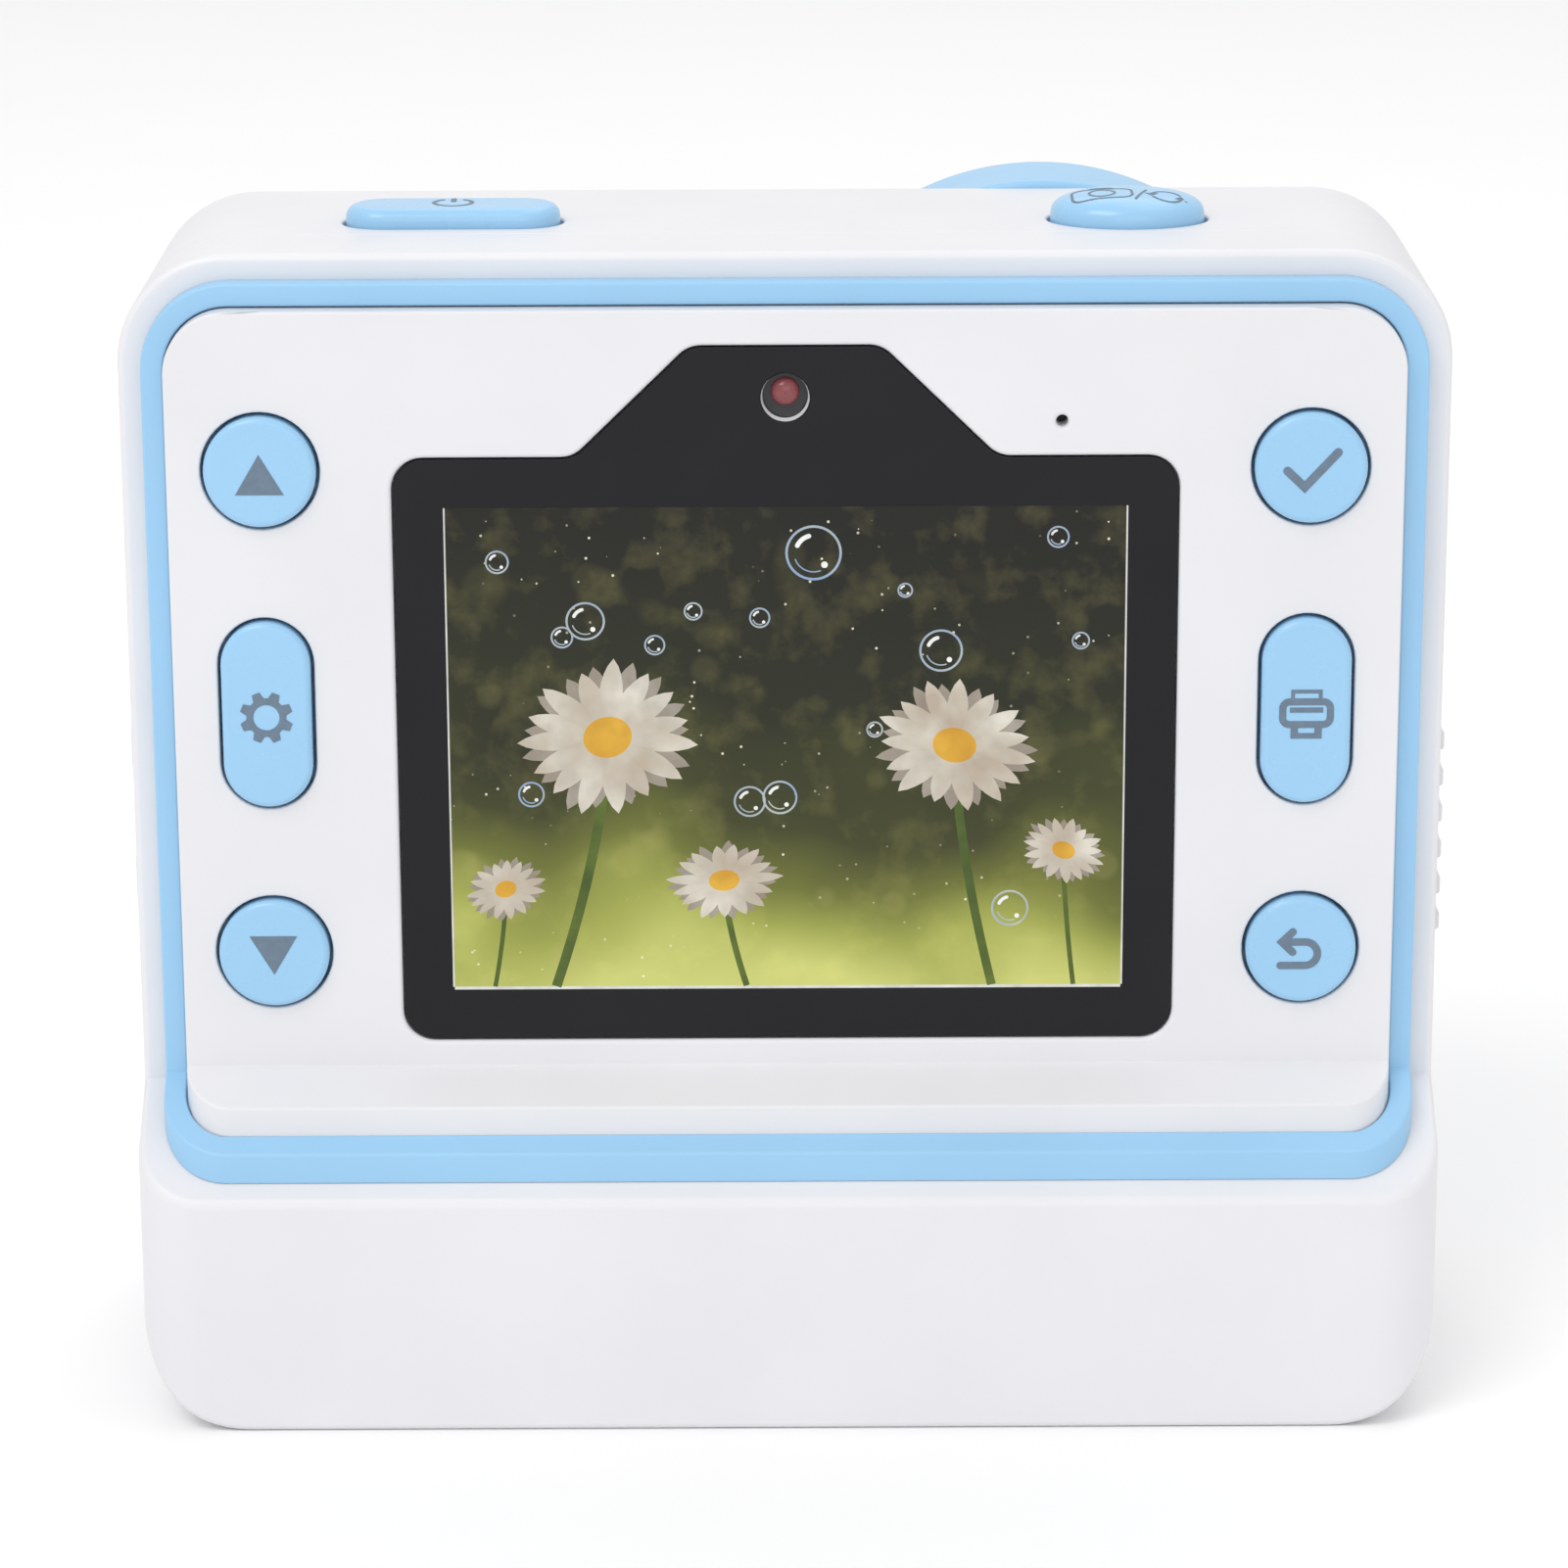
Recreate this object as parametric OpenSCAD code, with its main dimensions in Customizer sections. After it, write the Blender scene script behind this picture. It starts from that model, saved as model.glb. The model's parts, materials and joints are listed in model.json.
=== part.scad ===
// Children's instant-print camera: casing shells, rear control panel, screen, printer, optics and keys.
// The screen side faces -Y, the lens side faces +Y, and the base stands on Z = 0. Millimetres.

/* [Casing] */
// Width of the casing
body_w = 96; // [95:0.5:97]
// Height of the casing from the base to the top plane
body_h = 86.5; // [86:0.25:87.5]
// Depth of the casing from the base's rear face to the front face
body_d = 38.8; // [38.4:0.2:39.4]
// Wall thickness of both shells
wall = 2; // [1.8:0.1:2.1]
// Radius of the two top corners
top_r = 8; // [7:0.5:9]
// Radius of the two bottom corners
bottom_r = 8; // [6.6:0.2:8]
// Radius of the base's rear side edges
rear_edge_r = 4.8; // [4:0.2:5.2]
// Distance from the base's rear face to the plane between the two shells
split_d = 17.6; // [17.4:0.1:17.8]

/* [Rear steps] */
// How far the base stands out behind the upper rear rim
base_step = 9.6; // [9.4:0.1:9.8]
// Height of the crease where the rim turns into the sloped ledge
rim_crease = 24.4; // [24.2:0.1:24.8]
// Downward slope of the ledge, in degrees
ledge_slope = 34; // [32:1:36]
// How far the coloured trim stands out from the rim
trim_rise = 1.8; // [1.7:0.1:1.9]
// How far the control panel stands out from the trim
panel_rise = 1.5; // [1.4:0.1:1.6]
// Width of the control panel
panel_w = 88.8; // [88.6:0.1:89]
// Top of the control panel above the base
panel_top = 82.95; // [82.8:0.05:83.1]
// Visible width of the trim around the panel
trim_w = 1.75; // [1.6:0.05:1.8]

/* [Screen] */
// Height of the screen's centre above the base
screen_z = 50.9; // [50.5:0.1:51.3]
// Width of the black screen window
window_w = 56.4; // [56:0.1:56.8]
// Height of the window's straight part
window_h = 43.75; // [43.5:0.05:43.9]
// Height of the raised camera peak above the straight part
peak_h = 8.1; // [7.8:0.1:8.2]

/* [Keys] */
// Sideways distance of the key columns from the middle
key_x = 37.65; // [37.4:0.05:37.9]
// Diameter of the round key openings
key_d = 8.6; // [8.2:0.1:8.8]
// Height of the long key openings
long_key_h = 14.35; // [13.8:0.05:14.6]
// Width of the long key openings
long_key_w = 7; // [6.6:0.1:7.2]
// Gap between a key and its opening, on each side
key_gap = 0.25; // [0.2:0.05:0.3]
// Travel of the panel keys
key_travel = 0.5; // [0.4:0.05:0.5]
// Travel of the two top keys
top_travel = 0.8; // [0.6:0.1:0.8]

/* [Lens] */
// Sideways place of the main lens
lens_x = 19.7; // [19.4:0.1:20]
// Height of the main lens above the base
lens_z = 66.1; // [66:0.1:66.4]
// Outer radius of the lens ring
ring_r = 21; // [20.6:0.1:21.2]
// How far the lens ring stands out from the front face
ring_h = 8; // [7.6:0.2:8.4]

/* [Printer] */
// Width of the thermal paper
paper_w = 57; // [56.5:0.5:57]
// Outer radius of the paper roll
roll_r = 12; // [10:0.5:12]
// Radius of the platen roller
platen_r = 5; // [4.9:0.05:5]
// Gear module
gear_m = 0.6; // [0.58:0.01:0.6]
// Teeth on the platen gear
platen_teeth = 18; // [18:1:18]
// Teeth on the idler gear
idler_teeth = 22; // [22:1:22]
// Teeth on the motor pinion
pinion_teeth = 10; // [10:1:10]

/* [Paper door] */
// Width of the paper door
door_w = 67.5; // [66:0.5:67.5]
// Top edge of the door above the base
door_top = 37.2; // [37:0.1:37.4]
// Thickness of the door plate
door_t = 2.2; // [2:0.1:2.4]

/* [Hidden] */
$fn = 96;
fine = 0.01;
// Cutters run 1 past the faces they cut.
slope = tan(ledge_slope);
// A wall offset by t moves a crease t across and bend * t down.
bend = sqrt(1 + slope * slope) - slope;

total_d = body_d + ring_h;
y_rear = -total_d / 2;
y_front = y_rear + body_d;
y_rim = y_rear + base_step;
y_trim = y_rim - trim_rise;
y_panel = y_trim - panel_rise;
y_split = y_rear + split_d;
y_inner_front = y_front - wall;

panel_t = 2;
panel_back = y_panel + panel_t;
panel_crease = rim_crease + 2.1;
panel_lip_y = y_rear + 2.97;
panel_lip_h = 2.2;
panel_corner = 4.6;
panel_plan_r = 3.5;
trim_crease = rim_crease + 1.1;
trim_lip_y = y_rear + 1.43;
trim_plan_r = 4.9;
trim_top = panel_top + trim_w;
trim_corner = panel_corner + trim_w;
fit_gap = 0.1;
seat_gap = 0.03;

key_rows = [screen_z + 20.5, screen_z + 2.5, screen_z - 15.6];
key_rise = 0.65;
flange_t = 0.8;
flange_out = 0.75;
stem_r = 1.5;
board_t = 1.2;
switch_h = 2;
plunger_h = 0.6;
switch_w = 4;
board_y = y_rear + 16;
plunger_y = board_y - switch_h - plunger_h;

window_bottom = screen_z - 22.45;
window_top = window_bottom + window_h;
window_corner = 2.25;
window_t = 0.8;
window_sink = 0.15;
window_ledge = 1.6;
peak_foot = 15.2;
peak_half = 6.85;
lens_spot_z = screen_z + 25.7;
lens_spot_r = 1.75;
mic_x = 19.8;
mic_z = screen_z + 23.9;
mic_r = 0.43;

power_x = -24.4;
power_y = y_rear + 22.8;
power_w = 15.8;
power_d = 6;
power_rise = 1.35;
shutter_x = 25.3;
shutter_y = y_rear + 23;
shutter_w = 11.4;
shutter_d = 9;
shutter_rise = 2.2;
top_board_z = body_h - 7.7;
top_plunger_z = top_board_z + switch_h + plunger_h;

boss_x = body_w / 2 - 7;
boss_zs = [9, body_h - 6.5];
boss_r = 3.2;
screw_r = 1;
small_r = 0.8;
small_len = 2.6;
screw_seat_y = y_front - 10.4;
screw_tip_y = y_split - 4.8;
side_board_x = key_x;
side_board_w = 9;
side_screw_x = 36;
side_screw_zs = [27.6, 64];
main_screw_x = 27;
main_screw_z = 75.2;
main_board_y = y_split + 0.6 - 2.2;

slit_z = 39.5;
slit_h = 2.2;
slit_w = 59.2;
pivot_y = y_front - 1.4;
pivot_z = 5.1;
pivot_r = 1.4;
pin_r = 0.6;
door_half = door_w / 2;
door_gap = 0.3;
pin_half = door_half + 3.2;

roll_y = -0.6;
roll_z = 15.6;
core_r = 5.5;
core_bore_r = 4.3;
door_rib = 1;
bay_gap = 0.4;
bay_t = 1;
bay_front = 6;
platen_y = 6;
platen_z = 34.2;
plate_x = 29;
plate_t = 1.2;
gear_x0 = 30.6;
gear_x1 = 32.6;
link_a = 150;
link_b = 85;
reach_a = gear_m * (platen_teeth + idler_teeth) / 2;
reach_b = gear_m * (idler_teeth + pinion_teeth) / 2;
idler_y = platen_y + reach_a * cos(link_a);
idler_z = platen_z + reach_a * sin(link_a);
motor_y = idler_y + reach_b * cos(link_b);
motor_z = idler_z + reach_b * sin(link_b);
platen_phase = link_a;
idler_phase = link_a + 180 + 180 / idler_teeth;
mesh_shift = (link_b - idler_phase) * idler_teeth / 360;
pinion_phase = link_b + 180 + (mesh_shift + 0.5) * 360 / pinion_teeth;
shaft_r = 1.5;
stud_r = 1;
run_gap = 0.05;
motor_r = 7.5;
motor_len = 12;
frame_screw_x = 33.4;
frame_screw_z = 44.4;

cover_y0 = y_rear + 11;
cover_y1 = y_rear + 16.8;
cover_z0 = 34.1;
cover_z1 = 51.1;
cover_t = 1.15;
cover_rise = 0.45;
cover_pivot_x = body_w / 2 - 0.6;
cover_pivot_z = cover_z0 + 0.6;
rib_pitch = 2.77;
rib_count = 6;
rib_z = screen_z - 15.2;
usb_z = 44.2;
usb_y = board_y - 1.6;
card_z = 44;
card_y = board_y - 0.85;
card_t = 0.75;
card_l = 15;
card_w = 11;

flash_x = -8;
flash_z = 76;
flash_r = 3;
speaker_x = -29;
speaker_z = 66;

white = [0.95, 0.95, 0.97];
blue = [0.64, 0.82, 0.94];
ink = [0.07, 0.07, 0.08];
board_green = [0.1, 0.38, 0.22];
steel = [0.72, 0.73, 0.75];

// ---- placing helpers ----

module along_x(x0, x1) {
    translate([x0, 0, 0]) rotate([90, 0, 90]) linear_extrude(x1 - x0) children();
}

module along_y(y0, y1) {
    translate([0, y1, 0]) rotate([90, 0, 0]) linear_extrude(y1 - y0) children();
}

module along_z(z0, z1) {
    translate([0, 0, z0]) linear_extrude(z1 - z0) children();
}

module rod_x(x0, x1, y, z, r) {
    translate([x0, y, z]) rotate([0, 90, 0]) cylinder(h = x1 - x0, r = r);
}

module rod_y(x, y0, y1, z, r) {
    translate([x, y1, z]) rotate([90, 0, 0]) cylinder(h = y1 - y0, r = r);
}

module rod_z(x, y, z0, z1, r) {
    translate([x, y, z0]) cylinder(h = z1 - z0, r = r);
}

module block(x0, x1, y0, y1, z0, z1) {
    translate([x0, y0, z0]) cube([x1 - x0, y1 - y0, z1 - z0]);
}

module both_sides() {
    children();
    mirror([1, 0, 0]) children();
}

// ---- plane outlines ----

// Rectangle from (-w, low) to (w, high) with one radius at its two low and one at its two high corners.
module corner_rect(w, low, high, low_r, high_r) {
    translate([-w, low + low_r]) square([2 * w, high - low - low_r - high_r]);
    translate([-(w - low_r), low]) square([2 * (w - low_r), low_r + fine]);
    translate([-(w - high_r), high - high_r - fine]) square([2 * (w - high_r), high_r + fine]);
    for (side = [-1, 1]) {
        translate([side * (w - low_r), low + low_r]) circle(low_r);
        translate([side * (w - high_r), high - high_r]) circle(high_r);
    }
}

module stadium(w, h) {
    square([w, h - w], center = true);
    for (end = [-1, 1]) translate([0, end * (h - w) / 2]) circle(w / 2);
}

module ellipse(w, d) {
    steps = 48;
    polygon([for (i = [0 : steps - 1]) [cos(i * 360 / steps) * w / 2, sin(i * 360 / steps) * d / 2]]);
}

// Polygon whose corners are rounded: points is a closed outline and radii has one radius a corner.
function unit(v) = v / norm(v);
function turn(a) = a > 180 ? a - 360 : a < -180 ? a + 360 : a;
function corner_arc(before, at, after, r, steps) =
    let (
        u = unit(before - at),
        v = unit(after - at),
        half = acos(u * v) / 2,
        centre = at + unit(u + v) * r / sin(half),
        first = at + u * r / tan(half) - centre,
        last = at + v * r / tan(half) - centre,
        start = atan2(first[1], first[0]),
        sweep = turn(atan2(last[1], last[0]) - start)
    )
    [for (i = [0 : steps]) centre + r * [cos(start + sweep * i / steps), sin(start + sweep * i / steps)]];
function rounded(points, radii, steps) =
    let (count = len(points))
    [for (i = [0 : count - 1])
        each corner_arc(points[(i + count - 1) % count], points[i], points[(i + 1) % count],
            radii[i], steps)];

// The screen window's outline, shrunk by inset on every side.
function window_points(inset) =
    let (
        half = window_w / 2 - inset,
        low = window_bottom + inset,
        shoulder = window_top - inset,
        top = window_top + peak_h - inset,
        lean = 0.4 * inset
    )
    [[-half, low], [half, low], [half, shoulder], [peak_foot - lean, shoulder], [peak_half - lean, top],
        [-peak_half + lean, top], [-peak_foot + lean, shoulder], [-half, shoulder]];

module window_outline(inset) {
    r = window_corner - inset / 2;
    polygon(rounded(window_points(inset), [r, r, r, r, r, r, r, r], 8));
}

// ---- casing form ----

function casing_side(inset) = [
    [y_front - inset, inset],
    [y_front - inset, body_h - inset],
    [y_rim + inset, body_h - inset],
    [y_rim + inset, rim_crease - bend * inset],
    [y_rear + inset, rim_crease - base_step * slope - bend * inset],
    [y_rear + inset, inset]];

// The casing's outer form shrunk by inset: its front outline, side outline and plan cut together.
module casing_form(inset) {
    half = body_w / 2 - inset;
    intersection() {
        along_y(y_rear, y_front) corner_rect(half, inset, body_h - inset, bottom_r - inset, top_r - inset);
        along_x(-body_w, body_w) polygon(casing_side(inset));
        along_z(-1, body_h + 1)
            corner_rect(half, y_rear + inset, y_front + 10, rear_edge_r - inset, 1);
    }
}

module casing_ring(outer_inset, inner_inset, y0, y1) {
    difference() {
        along_y(y0, y1) corner_rect(body_w / 2 - outer_inset, outer_inset, body_h - outer_inset,
            bottom_r - outer_inset, top_r - outer_inset);
        along_y(y0 - 1, y1 + 1) corner_rect(body_w / 2 - inner_inset, inner_inset, body_h - inner_inset,
            bottom_r - inner_inset, top_r - inner_inset);
    }
}

// ---- shells ----

module rear_shell() {
    lcd_half = 31;
    lcd_low = 28.4;
    lcd_high = 72.8;
    neck_half = 4;
    lip = 1;
    tongue = 1.5;
    boss_root_r = 2.8;
    post_r = 1.9;
    mic_pocket_r = 2.4;
    frame_margin = 4;
    frame_w = 3.4;
    thumb_r = 2.5;
    thumb_half = 3.5;
    key_room = 9.5;
    color(white) difference() {
        union() {
            difference() {
                casing_form(0);
                casing_form(wall);
                block(-body_w, body_w, y_split, y_front + 1, -1, body_h + 1);
            }
            casing_ring(wall - fit_gap, wall + lip, y_split - tongue, y_split);
            casing_ring(wall + run_gap, wall + lip, y_split - fine, y_split + tongue);
            both_sides() {
                for (z = boss_zs) rod_y(boss_x, (z < rim_crease ? y_rear : y_rim) + wall - fine, y_split,
                    z, boss_root_r);
                for (z = side_screw_zs) rod_y(side_screw_x, y_rim + wall - fine, board_y, z, post_r);
                rod_y(main_screw_x, y_rim + wall - fine, main_board_y, main_screw_z, post_r);
            }
            // Raised frame around the card slot
            along_x(-body_w / 2 - cover_rise, -body_w / 2 + fine) translate([card_y, card_z])
                stadium(frame_w, card_w + frame_margin);
        }
        both_sides() {
            for (z = boss_zs) rod_y(boss_x, screw_tip_y - 0.4, y_split + 1, z, screw_r + run_gap);
            for (z = side_screw_zs) rod_y(side_screw_x, board_y - small_len - 0.4, board_y + 1, z,
                small_r + run_gap);
            rod_y(main_screw_x, main_board_y - small_len - 0.4, main_board_y + 1, main_screw_z,
                small_r + run_gap);
            for (row = [0, 2]) rod_y(key_x, y_rim - 1, y_rim + wall + 1, key_rows[row], key_d / 2 + 1);
            along_y(y_rim - 1, y_rim + wall + 1) translate([key_x, key_rows[1]])
                stadium(long_key_w + 2.2, long_key_h + 2.2);
        }
        block(-lcd_half, lcd_half, y_rim - 1, y_rim + wall + 1, lcd_low, lcd_high);
        block(-neck_half, neck_half, y_rim - 1, y_rim + wall + 1, lcd_high - fine, lens_spot_z + 5);
        rod_y(mic_x, y_rim - 1, y_rim + wall + 1, mic_z, mic_pocket_r);
        // The tongue makes room for the top keys' flanges, the paper bay and the front shell's bosses.
        for (x = [power_x, shutter_x])
            block(x - key_room, x + key_room, y_split, y_split + 3, body_h - wall - 2, body_h - wall + fine);
        block(-plate_x - 2, plate_x + 2, y_split, y_split + 3, wall, wall + 2);
        both_sides() for (z = boss_zs) rod_y(boss_x, y_split, y_split + 3, z, boss_r + fit_gap);
        // Pocket for the port cover and the plug opening behind it
        block(body_w / 2 - cover_t - fit_gap, body_w / 2 + 1, cover_y0 - fit_gap * 2, cover_y1 + fit_gap * 2,
            cover_z0 - 0.8, cover_z1 + 0.2);
        along_x(body_w / 2 - wall - 1, body_w / 2 + 1) translate([usb_y, usb_z]) stadium(3.5, 9.3);
        // Card slot with a thumb hollow
        block(-body_w / 2 - 1, -body_w / 2 + wall + 1, card_y - 0.55, card_y + 0.55,
            card_z - card_w / 2 - 0.2, card_z + card_w / 2 + 0.2);
        rod_z(-body_w / 2 - 1.7, card_y, card_z - thumb_half, card_z + thumb_half, thumb_r);
    }
}

module front_shell() {
    lens_hole_r = 9.2;
    head_hole_r = 2.3;
    grille_pitch = 2.6;
    grille_r = 0.6;
    color(white) difference() {
        union() {
            difference() {
                casing_form(0);
                casing_form(wall);
                block(-body_w, body_w, y_rear - 1, y_split + seat_gap, -1, body_h + 1);
            }
            both_sides() {
                for (z = boss_zs) rod_y(boss_x, y_split + seat_gap, y_inner_front + fine, z, boss_r);
                rod_y(frame_screw_x, 10.05, y_inner_front + fine, frame_screw_z, 2);
                block(door_half + door_gap, pin_half + 1, pivot_y - 1.9, y_front - 0.5,
                    pivot_z - 3.2 + fine, pivot_z + 1.6);
            }
        }
        both_sides() {
            for (z = boss_zs) {
                rod_y(boss_x, y_split - 1, y_front + 1, z, screw_r + 0.15);
                rod_y(boss_x, screw_seat_y, y_front + 1, z, head_hole_r);
            }
            rod_y(frame_screw_x, 9, 12.9, frame_screw_z, small_r + run_gap);
            rod_x(door_half - 1, pin_half + fit_gap, pivot_y, pivot_z, pin_r + 0.02);
        }
        block(-door_half - door_gap, door_half + door_gap, y_inner_front - 3, y_front + 1,
            pivot_z - pivot_r - door_gap, door_top + door_gap);
        block(-slit_w / 2, slit_w / 2, y_inner_front - 3, y_front + 1,
            slit_z - slit_h / 2, slit_z + slit_h / 2);
        rod_y(lens_x, y_inner_front - 1, y_front + 1, lens_z, lens_hole_r);
        along_z(body_h - wall - 1, body_h + 1) translate([power_x, power_y]) rotate(90)
            stadium(power_d + 2 * key_gap, power_w + 2 * key_gap);
        along_z(body_h - wall - 1, body_h + 1) translate([shutter_x, shutter_y])
            ellipse(shutter_w + 2 * key_gap, shutter_d + 2 * key_gap);
        rod_y(flash_x, y_inner_front - 1, y_front + 1, flash_z, flash_r + run_gap);
        for (ring = [1 : 2], i = [0 : 6 * ring - 1]) {
            turn_by = i * 60 / ring;
            rod_y(speaker_x + ring * grille_pitch * cos(turn_by), y_inner_front - 1, y_front + 1,
                speaker_z + ring * grille_pitch * sin(turn_by), grille_r);
        }
        rod_y(speaker_x, y_inner_front - 1, y_front + 1, speaker_z, grille_r);
    }
}

// ---- rear trim and panel ----

function lip_z(y_face, crease, lip_y) = crease - (y_face - lip_y) * slope;

function panel_side(t) = [
    [y_panel, panel_top + 1],
    [y_panel, panel_crease],
    [panel_lip_y, lip_z(y_panel, panel_crease, panel_lip_y)],
    [panel_lip_y, lip_z(y_panel, panel_crease, panel_lip_y) - panel_lip_h],
    [panel_lip_y + t, lip_z(y_panel, panel_crease, panel_lip_y) - panel_lip_h],
    [panel_lip_y + t, lip_z(y_panel, panel_crease, panel_lip_y) - bend * t],
    [y_panel + t, panel_crease - bend * t],
    [y_panel + t, panel_top + 1]];

module panel_outline(grow) {
    corner_rect(panel_w / 2 + grow, 10, panel_top + grow, 1, panel_corner + grow);
}

module panel_form(t, grow) {
    intersection() {
        along_x(-body_w, body_w) polygon(panel_side(t));
        along_y(y_rear, y_front) panel_outline(grow);
        along_z(0, body_h)
            corner_rect(panel_w / 2 + grow, panel_lip_y - grow, y_front, panel_plan_r + grow, 1);
    }
}

module key_openings(grow) {
    for (side = [-1, 1]) {
        for (row = [0, 2]) rod_y(side * key_x, y_panel - 1, panel_back + 1, key_rows[row], key_d / 2 + grow);
        along_y(y_panel - 1, panel_back + 1) translate([side * key_x, key_rows[1]])
            stadium(long_key_w + 2 * grow, long_key_h + 2 * grow);
    }
}

module back_panel() {
    skirt = 1.5;
    color(white) difference() {
        union() {
            panel_form(panel_t, 0);
            difference() {
                along_y(panel_back - fine, y_rim - 0.75) panel_outline(0);
                along_y(panel_back - 1, y_rim)
                    corner_rect(panel_w / 2 - skirt, 0, panel_top - skirt, 1, panel_corner - skirt);
                block(-body_w, body_w, y_rear, y_front, 0, panel_crease + 1);
            }
        }
        key_openings(0);
        along_y(y_panel - 1, y_panel + window_sink + window_t + run_gap) window_outline(-0.08);
        along_y(y_panel - 1, panel_back + 1) window_outline(window_ledge);
        rod_y(mic_x, y_panel - 1, panel_back + 1, mic_z, mic_r);
    }
}

module trim_ring() {
    inner = panel_w / 2 - 1.1;
    under = rim_crease + seat_gap;
    side = [
        [y_trim, trim_top + 1],
        [y_trim, trim_crease],
        [trim_lip_y, lip_z(y_trim, trim_crease, trim_lip_y)],
        [trim_lip_y, lip_z(y_rim, under, trim_lip_y)],
        [y_rim - seat_gap, under],
        [y_rim - seat_gap, trim_top + 1]];
    color(blue) difference() {
        intersection() {
            along_x(-body_w, body_w) polygon(side);
            along_y(y_rear, y_front) corner_rect(panel_w / 2 + trim_w, 10, trim_top, 1, trim_corner);
            along_z(0, body_h) corner_rect(panel_w / 2 + trim_w, trim_lip_y, y_front, trim_plan_r, 1);
        }
        // Room for the panel: its ledge rests in the trim, and its plate drops inside the ring.
        panel_form(panel_t, fit_gap);
        translate([0, 0, -fit_gap]) panel_form(panel_t, fit_gap);
        along_y(y_rear, y_rim - 0.7) difference() {
            panel_outline(fit_gap);
            translate([-body_w, 0]) square([2 * body_w, panel_crease]);
        }
        along_y(y_rear, y_front) corner_rect(inner, panel_crease, panel_top - 1.1, 1, panel_corner - 1.1);
    }
}

// ---- screen ----

module screen_window() {
    color(ink) difference() {
        along_y(y_panel + window_sink, y_panel + window_sink + window_t) window_outline(0);
        rod_y(0, y_panel - 1, panel_back, lens_spot_z, lens_spot_r + fine);
    }
}

module lcd_module() {
    lcd_w = 60.3;
    lcd_h = 42.7;
    lcd_t = 2.2;
    centre = screen_z - 0.35;
    color([0.16, 0.17, 0.19])
        block(-lcd_w / 2, lcd_w / 2, panel_back + fit_gap, panel_back + fit_gap + lcd_t,
            centre - lcd_h / 2, centre + lcd_h / 2);
}

module lcd_flex() {
    flex_t = 0.2;
    start = panel_back + 2.4;
    color([0.75, 0.45, 0.15]) union() {
        block(-9, 9, start, start + 2.6, 60, 60 + flex_t);
        block(-9, 9, start + 2.6 - flex_t, start + 2.6, 60, 66);
    }
}

module selfie_lens() {
    color([0.45, 0.12, 0.14]) difference() {
        rod_y(0, y_panel + window_sink + 0.02, y_panel + window_sink + window_t, lens_spot_z, lens_spot_r);
        rod_y(0, y_panel - 1, y_panel + window_sink + 0.25, lens_spot_z, 0.95);
    }
}

module selfie_camera() {
    top = y_panel + window_sink + window_t + 0.1;
    color(ink) union() {
        rod_y(0, top, top + 2.4, lens_spot_z, 1.6);
        block(-3.2, 3.2, top + 2.2, top + 4.2, lens_spot_z - 2.2, lens_spot_z + 4.2);
    }
}

module microphone() {
    color(ink) rod_y(mic_x, panel_back + 0.1, panel_back + 1.6, mic_z, 2);
}

// ---- keys ----

module round_key(side, row) {
    r = key_d / 2 - key_gap;
    z = key_rows[row];
    x = side * key_x;
    union() {
        rod_y(x, y_panel - key_rise, panel_back + 0.06, z, r);
        rod_y(x, panel_back + 0.05, panel_back + 0.05 + flange_t, z, r + flange_out);
        rod_y(x, panel_back + flange_t, plunger_y - key_travel - 0.05, z, stem_r);
    }
}

module long_key(side) {
    z = key_rows[1];
    x = side * key_x;
    w = long_key_w - 2 * key_gap;
    h = long_key_h - 2 * key_gap;
    union() {
        along_y(y_panel - key_rise, panel_back + 0.06) translate([x, z]) stadium(w, h);
        along_y(panel_back + 0.05, panel_back + 0.05 + flange_t) translate([x, z])
            stadium(w + 2 * flange_out, h + 2 * flange_out);
        rod_y(x, panel_back + flange_t, plunger_y - key_travel - 0.05, z, stem_r);
    }
}

module button_up() {
    color(blue) round_key(-1, 0);
}

module button_settings() {
    color(blue) long_key(-1);
}

module button_down() {
    color(blue) round_key(-1, 2);
}

module button_ok() {
    color(blue) round_key(1, 0);
}

module button_print() {
    color(blue) long_key(1);
}

module button_back() {
    color(blue) round_key(1, 2);
}

module top_stem(x, y) {
    rod_z(x, y, top_plunger_z + top_travel + 0.05, body_h - wall - flange_t, stem_r);
}

module power_button() {
    flange_top = body_h - wall - 0.05;
    color(blue) union() {
        along_z(flange_top - 0.01, body_h + power_rise) translate([power_x, power_y]) rotate(90)
            stadium(power_d, power_w);
        along_z(flange_top - flange_t, flange_top) translate([power_x, power_y]) rotate(90)
            stadium(power_d + 1.4, power_w + 1.4);
        top_stem(power_x, power_y);
    }
}

module shutter_button() {
    flange_top = body_h - wall - 0.05;
    dome_r = 10;
    color(blue) union() {
        intersection() {
            along_z(flange_top - 0.01, body_h + shutter_rise) translate([shutter_x, shutter_y])
                ellipse(shutter_w, shutter_d);
            translate([shutter_x, shutter_y, body_h + shutter_rise - dome_r]) sphere(dome_r);
        }
        along_z(flange_top - flange_t, flange_top) translate([shutter_x, shutter_y])
            ellipse(shutter_w + 1.3, shutter_d + 1.1);
        top_stem(shutter_x, shutter_y);
    }
}

// ---- electronics ----

module side_board(side) {
    difference() {
        block(side * side_board_x - side_board_w / 2, side * side_board_x + side_board_w / 2,
            board_y, board_y + board_t, 25.6, 76.2);
        for (z = side_screw_zs) rod_y(side * side_screw_x, board_y - 1, board_y + board_t + 1, z, 1);
    }
}

module key_board_left() {
    color(board_green) side_board(-1);
}

module key_board_right() {
    color(board_green) side_board(1);
}

module top_key_board() {
    color(board_green) block(power_x - 6, shutter_x + 6, shutter_y - 3.4, shutter_y + 2.2,
        top_board_z - board_t, top_board_z);
}

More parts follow.
